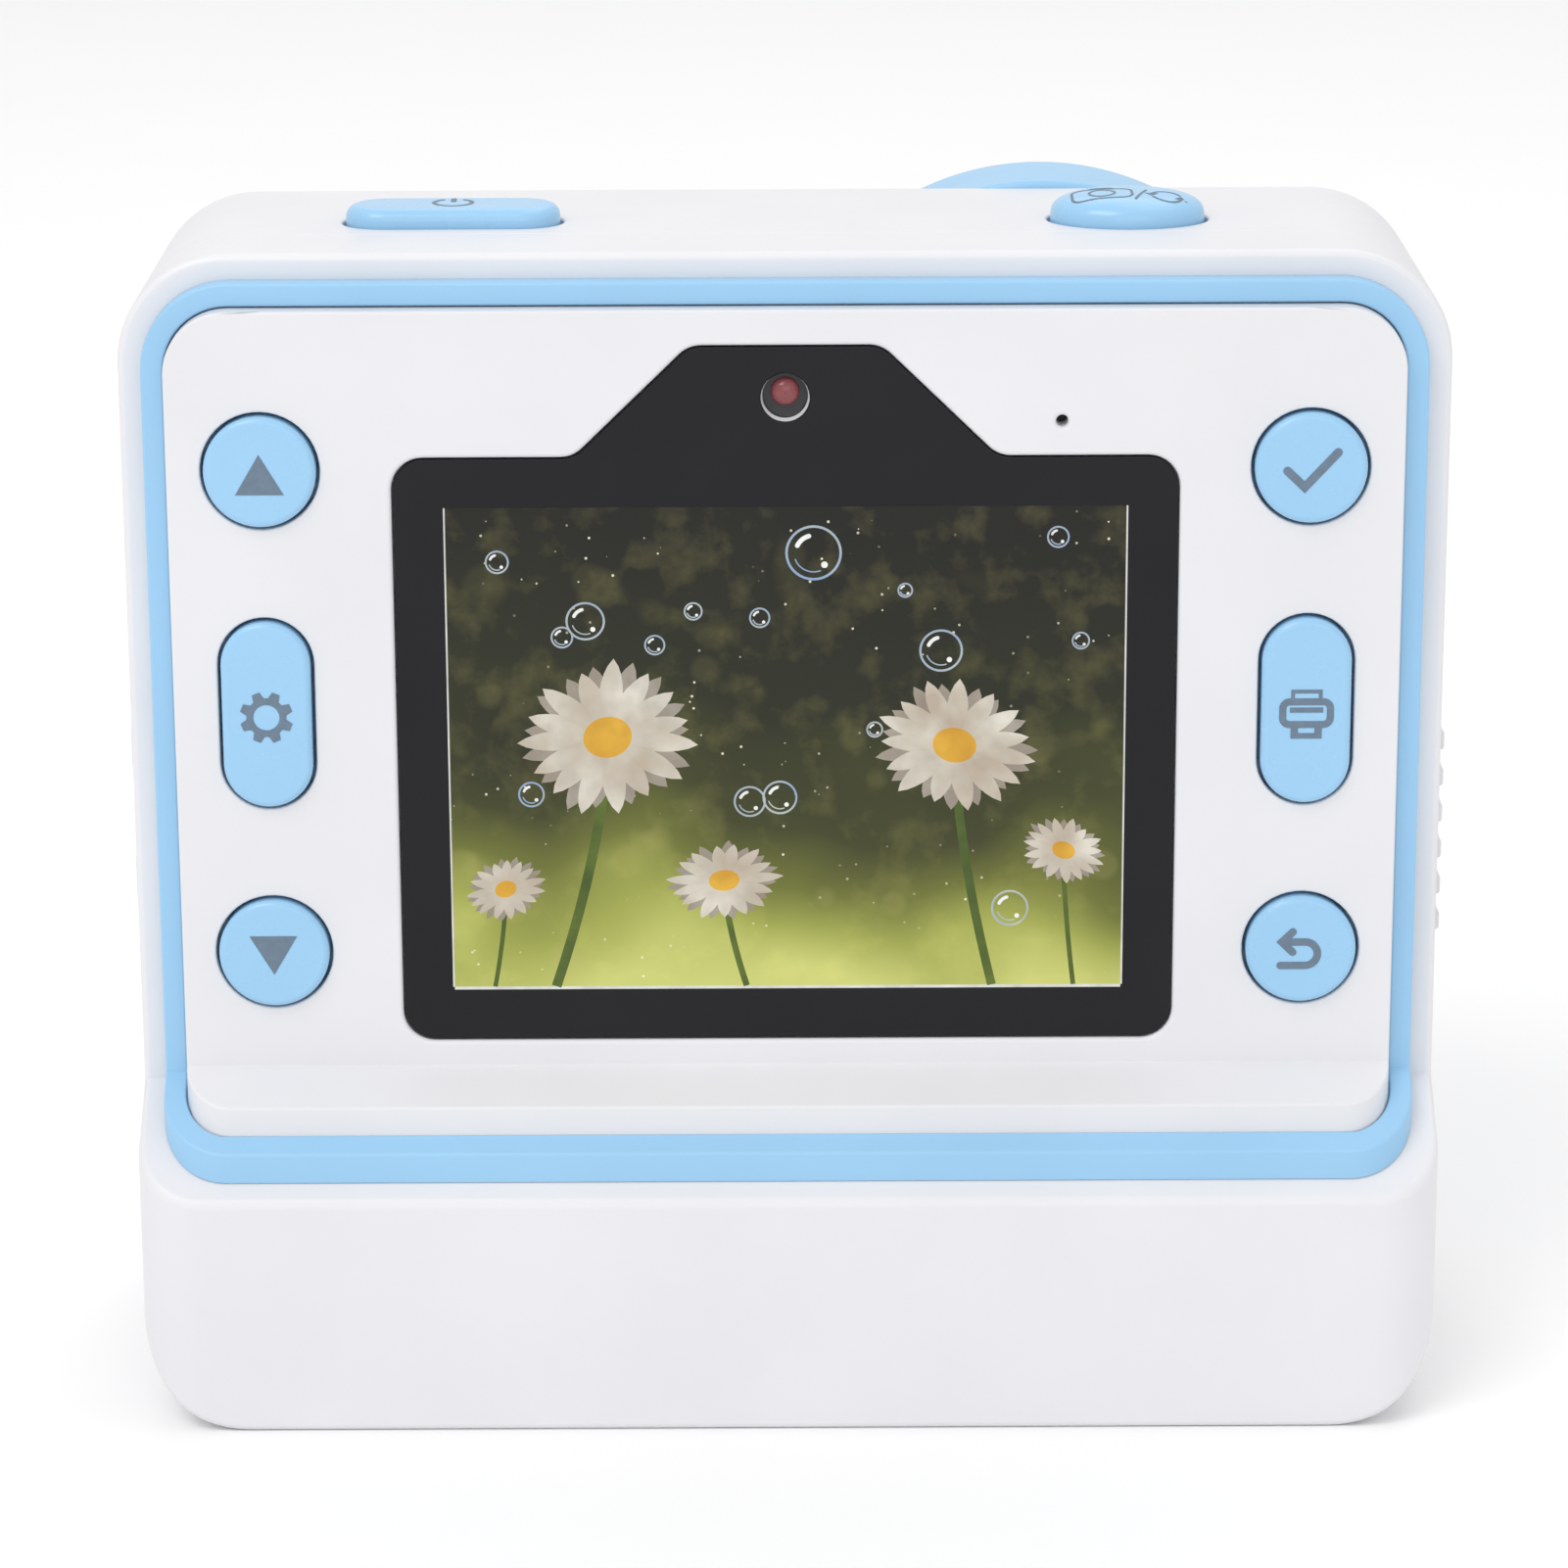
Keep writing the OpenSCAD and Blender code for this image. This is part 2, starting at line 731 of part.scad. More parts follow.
module panel_switch(x, z) {
    half = switch_w / 2;
    block(x - half, x + half, board_y - switch_h, board_y, z - half, z + half);
    rod_y(x, plunger_y, board_y - switch_h + fine, z, 1);
}

module top_switch(x, y) {
    half = switch_w / 2;
    block(x - half, x + half, y - half, y + half, top_board_z, top_board_z + switch_h);
    rod_z(x, y, top_board_z + switch_h - fine, top_plunger_z, 1);
}

module key_switches() {
    color(steel) {
        for (side = [-1, 1], z = key_rows) panel_switch(side * key_x, z);
        top_switch(power_x, power_y);
        top_switch(shutter_x, shutter_y);
    }
}

module main_board() {
    main_t = 1.6;
    front = main_board_y + main_t;
    color(board_green) difference() {
        union() {
            block(-30, 30, main_board_y, front, 58, 77);
            block(-8, 4, front - fine, front + 1.2, 61, 73);
            block(-24, -14, front - fine, front + 1, 62, 68);
            block(-12, -9.5, front - fine, front + 0.7, 63, 71);
            block(-27, -22, front - fine, front + 0.9, 70, 72.5);
        }
        both_sides() rod_y(main_screw_x, main_board_y - 1, front + 1, main_screw_z, 1);
    }
}

module image_sensor() {
    back = main_board_y + 1.65;
    color([0.13, 0.13, 0.15]) block(lens_x - 6, lens_x + 6, back, back + 1.9, lens_z - 6, lens_z + 6);
}

module lens_barrel() {
    back = main_board_y + 3.6;
    end = y_front + 1.5 - back;
    bore = 6;
    color(ink) translate([lens_x, back, lens_z]) rotate([-90, 0, 0]) rotate_extrude()
        polygon([[bore / 2, 0], [bore + 1, 0], [bore + 1, 6], [bore + 2, 6], [bore + 2, end], [bore, end],
            [bore, 9], [bore / 2, 9]]);
}

module lens_glass() {
    back = y_front - 3;
    dome = 9;
    color([0.25, 0.3, 0.4, 0.6]) intersection() {
        rod_y(lens_x, back, back + 4, lens_z, 5.95);
        translate([lens_x, back + 3.4 - dome, lens_z]) sphere(dome);
    }
}

module lens_bezel() {
    seat = y_front + seat_gap;
    color(ink) translate([lens_x, seat, lens_z]) rotate([-90, 0, 0]) rotate_extrude()
        polygon([[8.1, 0], [14.4, 0], [14.4, 5.6], [13.6, 5.6], [13, 4.9], [9.2, 2.1], [8.1, 2.1]]);
}

module lens_ring() {
    seat = y_front + seat_gap;
    depth = ring_h - seat_gap;
    inner = 14.5;
    round_r = 2.4;
    color(blue) translate([lens_x, seat, lens_z]) rotate([-90, 0, 0]) rotate_extrude()
        polygon([[inner, 0], [ring_r, 0], each [for (i = [0 : 8])
            [ring_r - round_r + round_r * cos(i * 90 / 8), depth - round_r + round_r * sin(i * 90 / 8)]],
            [inner + 0.8, depth], [inner, depth - 0.8]]);
}

module flash_led() {
    half = 1.75;
    color([0.95, 0.93, 0.75]) union() {
        block(flash_x - half, flash_x + half, y_inner_front - 2.6, y_inner_front - 1.6,
            flash_z - half, flash_z + half);
        rod_y(flash_x, y_inner_front - 1.7, y_inner_front - 1, flash_z, 1.3);
    }
}

module flash_window() {
    color([0.95, 0.95, 0.92, 0.5]) union() {
        rod_y(flash_x, y_inner_front - 0.7, y_front - 0.2, flash_z, flash_r);
        rod_y(flash_x, y_inner_front - 0.8, y_inner_front - 0.06, flash_z, flash_r + 0.8);
    }
}

module speaker() {
    color([0.2, 0.2, 0.22]) union() {
        rod_y(speaker_x, y_inner_front - 3.6, y_inner_front - 0.4, speaker_z, 9);
        rod_y(speaker_x, y_inner_front - 5.2, y_inner_front - 3.5, speaker_z, 5);
    }
}

module battery() {
    color([0.55, 0.6, 0.66]) along_y(-4.2, 3.8) translate([-22, 63])
        union() {
            square([38, 27], center = true);
            square([40, 25], center = true);
        }
}

module battery_leads() {
    lead_r = 0.5;
    color([0.75, 0.1, 0.1]) for (z = [58.5, 60.5])
        rod_y(-1.2, main_board_y + 1.7, 3, z, lead_r);
}

module usb_socket() {
    mouth = body_w / 2 - wall - 0.1;
    color(steel) difference() {
        along_x(mouth - 6.2, mouth) translate([usb_y, usb_z]) stadium(3.1, 8.9);
        along_x(mouth - 5.4, mouth + 1) translate([usb_y, usb_z]) difference() {
            stadium(2.5, 8.3);
            square([0.7, 6.2], center = true);
        }
    }
}

module port_cover() {
    half_w = body_w / 2;
    rib_half = 0.7;
    rib_inset = 0.4;
    color(white) union() {
        block(half_w - cover_t, half_w - 0.05, cover_y0, cover_y1, cover_pivot_z, cover_z1);
        rod_y(cover_pivot_x + 0.05, cover_y0, cover_y1, cover_pivot_z, 0.5);
        for (i = [0 : rib_count - 1])
            block(half_w - 0.1, half_w + cover_rise, cover_y0 + rib_inset, cover_y1 - rib_inset,
                rib_z + i * rib_pitch - rib_half, rib_z + i * rib_pitch + rib_half);
    }
}

module card_socket() {
    outer = -body_w / 2 + wall + 0.1;
    color(steel) difference() {
        block(outer, outer + 13.4, board_y - 1.9, board_y, card_z - 6.1, card_z + 6.1);
        block(outer - 1, outer + 13, card_y - card_t / 2 - 0.15, card_y + card_t / 2 + 0.15,
            card_z - card_w / 2 - 0.15, card_z + card_w / 2 + 0.15);
    }
}

module memory_card() {
    start = -body_w / 2 + 0.3;
    color([0.1, 0.1, 0.12]) block(start, start + card_l - 0.9, card_y - card_t / 2, card_y + card_t / 2,
        card_z - card_w / 2, card_z + card_w / 2);
}

// ---- paper door ----

module paper_door() {
    notch_r = 9;
    color(white) difference() {
        union() {
            block(-door_half, door_half, y_front - door_t, y_front, pivot_z, door_top);
            rod_x(-door_half, door_half, pivot_y, pivot_z, pivot_r);
            for (x = [-24, -8, 8, 24])
                block(x - 0.6, x + 0.6, y_front - door_t - door_rib, y_front - door_t + fine,
                    pivot_z + 3, door_top - 2);
        }
        rod_x(-door_half - 1, door_half + 1, pivot_y, pivot_z, pin_r + 0.03);
        // Thumb scoop at the top edge
        translate([0, y_front + notch_r - 0.9, door_top + 1]) rotate([0, 90, 0])
            cylinder(h = 16, r = notch_r, center = true);
    }
}

module door_hinge_pin() {
    color(steel) rod_x(-pin_half, pin_half, pivot_y, pivot_z, pin_r);
}

module paper_bay() {
    inner = roll_r + bay_gap;
    end = paper_w / 2 + 0.4;
    color([0.88, 0.89, 0.92]) difference() {
        rod_x(-end - bay_t, end + bay_t, roll_y, roll_z, inner + bay_t);
        rod_x(-end, end, roll_y, roll_z, inner);
        block(-body_w, body_w, roll_y, y_front, roll_z - bay_front, roll_z + roll_r + 3);
        block(-body_w, body_w, y_rear, y_front, roll_z, roll_z + roll_r + 3);
    }
}

module paper_roll() {
    color([0.96, 0.96, 0.95]) difference() {
        rod_x(-paper_w / 2, paper_w / 2, roll_y, roll_z, roll_r);
        rod_x(-paper_w / 2 - 1, paper_w / 2 + 1, roll_y, roll_z, core_r + 0.02);
    }
}

module roll_core() {
    color([0.72, 0.58, 0.42]) difference() {
        rod_x(-paper_w / 2, paper_w / 2, roll_y, roll_z, core_r);
        rod_x(-paper_w / 2 - 1, paper_w / 2 + 1, roll_y, roll_z, core_bore_r);
    }
}

// ---- print mechanism ----

// A straight-flanked gear outline with its first tooth at angle phase.
function gear_outline(teeth, phase) =
    let (
        pitch_r = gear_m * teeth / 2,
        tip_r = pitch_r + 0.8 * gear_m,
        root_r = pitch_r - 1.15 * gear_m,
        step = 360 / teeth
    )
    [for (i = [0 : teeth - 1], corner = [[root_r, -0.3], [tip_r, -0.1], [tip_r, 0.1], [root_r, 0.3]])
        let (angle = phase + (i + corner[1]) * step)
        corner[0] * [cos(angle), sin(angle)]];

module gear(teeth, phase, y, z, bore_r) {
    difference() {
        along_x(gear_x0, gear_x1) translate([y, z]) polygon(gear_outline(teeth, phase));
        rod_x(gear_x0 - 1, gear_x1 + 1, y, z, bore_r);
    }
}

module platen_roller() {
    end = plate_x + plate_t;
    color([0.14, 0.14, 0.15]) union() {
        rod_x(-plate_x + 0.4, plate_x - 0.4, platen_y, platen_z, platen_r);
        rod_x(-end - 0.6, gear_x1 + 0.4, platen_y, platen_z, shaft_r);
    }
}

module platen_gear() {
    color(white) gear(platen_teeth, platen_phase, platen_y, platen_z, shaft_r + fine);
}

module idler_gear() {
    color([0.3, 0.3, 0.32]) gear(idler_teeth, idler_phase, idler_y, idler_z, stud_r + run_gap);
}

module motor_pinion() {
    motor_shaft_r = 0.75;
    color([0.8, 0.68, 0.35]) union() {
        gear(pinion_teeth, pinion_phase, motor_y, motor_z, motor_shaft_r - fine);
        rod_x(plate_x - 4, gear_x1 + 0.2, motor_y, motor_z, motor_shaft_r);
    }
}

module feed_motor() {
    end = plate_x - 0.05;
    color(steel) difference() {
        union() {
            rod_x(end - motor_len, end, motor_y, motor_z, motor_r);
            block(end - motor_len + 1, end - motor_len + 4, motor_y - 3, motor_y + 3,
                motor_z - motor_r - 1.2, motor_z);
        }
        rod_x(end - 5, end + 1, motor_y, motor_z, 0.8);
    }
}

module printer_frame() {
    low = 30.2;
    bar_z = 46.8;
    color([0.6, 0.62, 0.65]) difference() {
        union() {
            block(plate_x, plate_x + plate_t, -9.5, 11, low, bar_z);
            block(plate_x, plate_x + plate_t, -10, 3.4, bar_z - fine, 57);
            block(-plate_x - plate_t, -plate_x, -9.5, 11, low, bar_z);
            block(-plate_x - fine, plate_x + fine, 4.6, 10.6, bar_z - 1.2, bar_z);
            block(-plate_x - fine, plate_x + fine, -9.5, -8.3, 32, 38.5);
            both_sides() block(plate_x, frame_screw_x + 2.4, 8.8, 10, frame_screw_z - 2.4, bar_z);
            rod_x(plate_x + plate_t - fine, gear_x1 + 0.4, idler_y, idler_z, stud_r);
        }
        rod_x(-plate_x - 3, plate_x + 3, platen_y, platen_z, shaft_r + run_gap);
        rod_x(plate_x - 1, plate_x + plate_t + 1, motor_y, motor_z, 1.4);
        both_sides() rod_y(frame_screw_x, 8, 11, frame_screw_z, 0.95);
    }
}

module print_head() {
    contact_z = platen_z + platen_r;
    color([0.85, 0.85, 0.82]) union() {
        block(-27, 27, 4.8, 10.4, contact_z + 0.5, contact_z + 2.8);
        block(-25, 25, 5.2, 6.9, contact_z + 0.06, contact_z + 0.51);
    }
}

module head_spring() {
    low = platen_z + platen_r + 2.85;
    high = 45.55;
    leaf_t = 0.3;
    color(steel) along_y(5.6, 9.6) for (side = [-1, 1]) translate([side * 16, 0]) polygon([
        [-7, high], [7, high], [1.5, low], [-1.5, low], [-1.5, low + leaf_t], [-1.3, low + leaf_t],
        [-6.2, high - leaf_t], [-7, high - leaf_t]]);
}

module tear_bar() {
    teeth = 48;
    pitch = (slit_w - 1.2) / teeth;
    start = -(slit_w - 1.2) / 2;
    low = slit_z - slit_h / 2 + 0.04;
    tip = y_front - 0.4;
    color(steel) along_z(low, low + 0.4) polygon([
        [start, y_inner_front - 1.2], each [for (i = [0 : teeth - 1], half = [0, 0.5])
            [start + (i + half) * pitch, tip - (half > 0 ? 0 : 0.7)]],
        [-start, tip - 0.7], [-start, y_inner_front - 1.2]]);
}

// ---- fasteners ----

module screw_y(x, tip_y, seat_y, z, r, head_r, head_h, way) {
    low = min(tip_y, seat_y);
    union() {
        rod_y(x, low, max(tip_y, seat_y), z, r);
        difference() {
            rod_y(x, min(seat_y, seat_y + way * head_h), max(seat_y, seat_y + way * head_h), z, head_r);
            for (turn_by = [0, 90]) translate([x, seat_y + way * head_h, z]) rotate([0, turn_by, 0])
                cube([head_r * 1.2, head_h, 0.5], center = true);
        }
    }
}

module case_screws() {
    color(steel) both_sides() for (z = boss_zs)
        screw_y(boss_x, screw_tip_y, screw_seat_y, z, screw_r, 1.9, 1.5, 1);
}

module board_screws() {
    head_r = 1.5;
    head_h = 1;
    color(steel) both_sides() {
        for (z = side_screw_zs)
            screw_y(side_screw_x, board_y - small_len, board_y + board_t, z, small_r, head_r, head_h, 1);
        screw_y(main_screw_x, main_board_y - small_len, main_board_y + 1.6, main_screw_z, small_r, head_r,
            head_h, 1);
        screw_y(frame_screw_x, 12.6, 8.8, frame_screw_z, small_r, head_r, head_h, -1);
    }
}

rear_shell();
front_shell();
back_panel();
trim_ring();
screen_window();
lcd_module();
lcd_flex();
selfie_lens();
selfie_camera();
microphone();
button_up();
button_settings();
button_down();
button_ok();
button_print();
button_back();
power_button();
shutter_button();
key_board_left();
key_board_right();
top_key_board();
key_switches();
main_board();
image_sensor();
lens_barrel();
lens_glass();
lens_bezel();
lens_ring();
flash_led();
flash_window();
speaker();
battery();
battery_leads();
usb_socket();
port_cover();
card_socket();
memory_card();
paper_door();
door_hinge_pin();
paper_bay();
paper_roll();
roll_core();
platen_roller();
platen_gear();
idler_gear();
motor_pinion();
feed_motor();
printer_frame();
print_head();
head_spring();
tear_bar();
case_screws();
board_screws();
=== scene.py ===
"""Looks of the children's instant-print camera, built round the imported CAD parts."""
import json
import math
import random

import bmesh
import bpy
from mathutils import Matrix, Vector


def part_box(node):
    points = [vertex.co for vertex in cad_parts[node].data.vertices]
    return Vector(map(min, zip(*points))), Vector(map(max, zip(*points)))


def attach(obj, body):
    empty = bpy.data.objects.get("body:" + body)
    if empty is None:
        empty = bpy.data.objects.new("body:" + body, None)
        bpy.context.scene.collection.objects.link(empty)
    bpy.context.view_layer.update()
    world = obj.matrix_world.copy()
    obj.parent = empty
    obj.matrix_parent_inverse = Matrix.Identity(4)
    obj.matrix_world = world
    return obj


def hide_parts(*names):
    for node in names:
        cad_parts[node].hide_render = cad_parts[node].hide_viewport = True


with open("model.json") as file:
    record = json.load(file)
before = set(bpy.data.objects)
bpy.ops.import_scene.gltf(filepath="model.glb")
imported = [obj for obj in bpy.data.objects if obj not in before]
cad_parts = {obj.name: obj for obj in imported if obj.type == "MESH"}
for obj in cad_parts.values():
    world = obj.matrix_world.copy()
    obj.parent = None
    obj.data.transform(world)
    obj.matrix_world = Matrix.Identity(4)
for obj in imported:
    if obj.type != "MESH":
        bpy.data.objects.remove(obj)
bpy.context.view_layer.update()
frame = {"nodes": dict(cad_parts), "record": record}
BODIES = frame["record"]["behaviour"]["bodies"]
BODY_OF = {node: body for body, nodes in BODIES.items() for node in nodes}

MM = 0.001

# Places that the looks share with the CAD part, in millimetres
HALF_W = 48
BODY_H = 86.5
CORNER_R = 8
LEDGE_Z = 24.4
LEDGE_ANGLE = math.radians(34)
PANEL_LIP_Z = 22.3
ABOVE_DOOR_Z = 38
Y_FRONT = 15.4
Y_SPLIT = -5.8
Y_RIM = -13.8
Y_TRIM_LIP = -15.5
Y_PANEL = -17.1
Y_BASE = -23.4
KEY_FACE_Y = -17.75
WINDOW_Y = -16.95
KEY_X = 37.65
KEY_ROWS = (71.4, 53.4, 35.3)
LENS_X, LENS_Z = 19.7, 66.1
LENS_SPOT_Z = 76.6
ROLL_Y, ROLL_Z = -0.6, 15.6
PICTURE = (-24.48, 24.48, 32.5, 68.6)

# The middle of each top key's skin: x, y and height
POWER = (-24.4, -0.6, 87.85)
SHUTTER = (25.3, -0.4, 88.6)
SHUTTER_HALF = (5.69, 4.49)
DOME_FOOT = 86.6


# ---- procedural materials ----

class Shader:
    """One node material. Textures read the object's own coordinates, in metres."""

    def __init__(self, name):
        self.mat = bpy.data.materials.new(name)
        self.mat.use_nodes = True
        self.tree = self.mat.node_tree
        self.tree.nodes.clear()
        self.out = self.add("ShaderNodeOutputMaterial")
        self.bsdf = self.add("ShaderNodeBsdfPrincipled")
        self.link(self.bsdf.outputs["BSDF"], self.out.inputs["Surface"])
        self.coords = self.add("ShaderNodeTexCoord").outputs["Object"]

    def add(self, kind, **settings):
        node = self.tree.nodes.new(kind)
        for key, value in settings.items():
            setattr(node, key, value)
        return node

    def link(self, source, target):
        self.tree.links.new(source, target)

    def put(self, socket, value):
        """A constant, or another node's output, on one socket of the surface shader."""
        target = self.bsdf.inputs[socket]
        if isinstance(value, bpy.types.NodeSocket):
            self.link(value, target)
        else:
            target.default_value = value

    def placed(self, offset=(0, 0, 0), stretch=(1, 1, 1)):
        """The object's coordinates, stretched and then moved."""
        mapping = self.add("ShaderNodeMapping")
        self.link(self.coords, mapping.inputs["Vector"])
        mapping.inputs["Location"].default_value = offset
        mapping.inputs["Scale"].default_value = stretch
        return mapping.outputs["Vector"]

    def noise(self, size, detail=2.0, stretch=(1, 1, 1)):
        """Noise whose features are about size millimetres across."""
        node = self.add("ShaderNodeTexNoise")
        self.link(self.placed(stretch=stretch), node.inputs["Vector"])
        node.inputs["Scale"].default_value = 1 / (size * MM)
        node.inputs["Detail"].default_value = detail
        return node.outputs["Fac"]

    def cells(self, size, feature="F1"):
        """Distance from the middle of cells about size millimetres across."""
        node = self.add("ShaderNodeTexVoronoi", feature=feature)
        self.link(self.coords, node.inputs["Vector"])
        node.inputs["Scale"].default_value = 1 / (size * MM)
        return node.outputs["Distance"]

    def span(self, source, low, high, at=(0.3, 0.7)):
        """source from at[0] to at[1] becomes low to high."""
        node = self.add("ShaderNodeMapRange")
        self.link(source, node.inputs["Value"])
        node.inputs["From Min"].default_value, node.inputs["From Max"].default_value = at
        node.inputs["To Min"].default_value, node.inputs["To Max"].default_value = low, high
        return node.outputs["Result"]

    def math(self, operation, a, b):
        node = self.add("ShaderNodeMath", operation=operation)
        for socket, value in zip(node.inputs, (a, b)):
            if isinstance(value, bpy.types.NodeSocket):
                self.link(value, socket)
            else:
                socket.default_value = value
        return node.outputs["Value"]

    def mix(self, a, b, factor):
        """Colour a where factor is 0 and colour b where it is 1."""
        node = self.add("ShaderNodeMix", data_type="RGBA")
        for socket, value in zip((node.inputs[0], node.inputs[6], node.inputs[7]), (factor, a, b)):
            if isinstance(value, bpy.types.NodeSocket):
                self.link(value, socket)
            elif socket.type == "RGBA":
                socket.default_value = (*value, 1)
            else:
                socket.default_value = value
        return node.outputs[2]

    def ramp(self, source, stops):
        node = self.add("ShaderNodeValToRGB")
        self.link(source, node.inputs["Fac"])
        points = node.color_ramp.elements
        while len(points) < len(stops):
            points.new(0.5)
        for point, (place, colour) in zip(points, stops):
            point.position = place
            point.color = (*colour, 1)
        return node.outputs["Color"]

    def bump(self, height, depth, strength=1.0, under=None):
        """depth is in millimetres."""
        node = self.add("ShaderNodeBump")
        self.link(height, node.inputs["Height"])
        node.inputs["Distance"].default_value = depth * MM
        node.inputs["Strength"].default_value = strength
        if under is not None:
            self.link(under, node.inputs["Normal"])
        return node.outputs["Normal"]


def tint(colour, factor):
    return tuple(min(1.0, c * factor) for c in colour)


def moulded(name, colour, rough, grain=0.22, depth=0.004, coat=0.0):
    """Moulded plastic: faint flow marks in the colour, a fine eroded grain, uneven gloss."""
    s = Shader(name)
    flow = s.span(s.noise(14, 3), 0, 1)
    s.put("Base Color", s.mix(tint(colour, 0.975), tint(colour, 1.01), flow))
    s.put("Roughness", s.span(s.noise(3.5, 4), rough - 0.045, rough + 0.055))
    wave = s.bump(s.noise(9, 1), 0.012, 0.5)
    s.put("Normal", s.bump(s.noise(grain, 3), depth, 0.6, wave))
    s.put("Specular IOR Level", 0.5)
    if coat:
        s.put("Coat Weight", coat)
        s.put("Coat Roughness", 0.12)
    return s.mat


def polished(name, colour, rough=0.08, gloss=0.5):
    """Polished acrylic: faint haze and very fine wiping marks."""
    s = Shader(name)
    s.put("Base Color", s.mix(tint(colour, 0.9), tint(colour, 1.1), s.span(s.noise(8, 3), 0, 1)))
    s.put("Roughness", s.span(s.noise(2.2, 5, (1, 1, 6)), rough * 0.7, rough * 1.6))
    s.put("Normal", s.bump(s.noise(6, 2), 0.006, 0.35))
    s.put("Specular IOR Level", gloss)
    return s.mat


def metal(name, colour, rough, brush=(1, 14, 14)):
    """Rolled or machined metal with a brushed direction and small stains."""
    s = Shader(name)
    marks = s.noise(1.1, 4, brush)
    s.put("Base Color", s.mix(tint(colour, 0.8), tint(colour, 1.06), s.span(s.noise(2.5, 4), 0, 1)))
    s.put("Metallic", 1.0)
    s.put("Roughness", s.span(marks, rough - 0.08, rough + 0.12))
    s.put("Normal", s.bump(marks, 0.01, 0.5))
    return s.mat


def rubber(name, colour, rough=0.62):
    s = Shader(name)
    s.put("Base Color", s.mix(tint(colour, 0.93), tint(colour, 1.04), s.span(s.noise(5, 4), 0, 1)))
    s.put("Roughness", s.span(s.noise(1.2, 4), rough - 0.08, rough + 0.1))
    s.put("Normal", s.bump(s.noise(0.16, 3), 0.012, 0.7))
    return s.mat


def clear(name, colour, rough, haze=0.0):
    s = Shader(name)
    s.put("Base Color", s.mix(tint(colour, 0.94), colour, s.span(s.noise(4, 2), 0, 1)))
    s.put("Transmission Weight", 1.0)
    s.put("IOR", 1.5)
    s.put("Roughness", s.span(s.noise(1.5, 4), rough, rough + 0.04 + haze))
    s.put("Normal", s.bump(s.noise(0.8, 2), 0.006 + 0.05 * haze, 0.4))
    return s.mat


def circuit(name):
    """Solder mask over copper tracks, with small plated pads."""
    s = Shader(name)
    brick = s.add("ShaderNodeTexBrick", offset=0.37, squash=1.6)
    s.link(s.placed(), brick.inputs["Vector"])
    brick.inputs["Scale"].default_value = 1 / (1.9 * MM)
    brick.inputs["Mortar Size"].default_value = 0.05
    tracks = brick.outputs["Fac"]
    pads = s.math("LESS_THAN", s.cells(1.7), 0.16)
    green = s.mix((0.012, 0.11, 0.045), (0.03, 0.2, 0.08), tracks)
    s.put("Base Color", s.mix(green, (0.62, 0.6, 0.5), pads))
    s.put("Metallic", pads)
    s.put("Roughness", s.span(s.noise(1.4, 3), 0.28, 0.45))
    s.put("Normal", s.bump(tracks, 0.03, 0.8, s.bump(pads, 0.04, 0.8)))
    return s.mat


def wound_paper(name, colour, turn):
    """Wound sheet: turns about turn millimetres apart on the ends, fine fibre on the outside."""
    s = Shader(name)
    wave = s.add("ShaderNodeTexWave", wave_type="RINGS", rings_direction="X", wave_profile="SAW")
    s.link(s.placed(offset=(0, -ROLL_Y * MM, -ROLL_Z * MM)), wave.inputs["Vector"])
    wave.inputs["Scale"].default_value = 0.16 / (turn * MM)
    wave.inputs["Distortion"].default_value = 0.6
    turns = wave.outputs["Fac"]
    s.put("Base Color", s.mix(tint(colour, 0.86), colour, s.span(turns, 0.25, 1, (0, 1))))
    s.put("Roughness", s.span(s.noise(1.6, 4), 0.5, 0.66))
    fibre = s.bump(s.noise(0.3, 4, (1, 5, 5)), 0.008, 0.6)
    s.put("Normal", s.bump(turns, 0.03, 0.6, fibre))
    return s.mat


def marking(name):
    """Pad-printed slate grey ink."""
    s = Shader(name)
    ink = (0.125, 0.18, 0.245)
    s.put("Base Color", s.mix(tint(ink, 0.92), tint(ink, 1.08), s.span(s.noise(0.6, 4), 0, 1)))
    s.put("Roughness", s.span(s.noise(0.5, 3), 0.42, 0.56))
    s.put("Normal", s.bump(s.noise(0.12, 3), 0.006, 0.6))
    return s.mat


def lit_screen(s, glow, strength):
    """Finishes a tone of the lit picture: light from under the glossy black window."""
    s.put("Base Color", (0.004, 0.004, 0.004, 1))
    s.put("Roughness", s.span(s.noise(2, 3), 0.08, 0.16))
    s.put("Emission Color", glow)
    s.put("Emission Strength", strength)
    s.put("Specular IOR Level", 0.2)
    return s.mat


def glowing(name, colour, strength, edge=None):
    """One tone of the lit picture, mixed in patches with edge where that is given."""
    s = Shader(name)
    shade = s.mix(tint(colour, 0.82), tint(colour, 1.12), s.span(s.noise(1.6, 4), 0, 1))
    if edge is not None:
        shade = s.mix(edge, shade, s.span(s.noise(4, 2), 0, 1))
    return lit_screen(s, shade, strength)


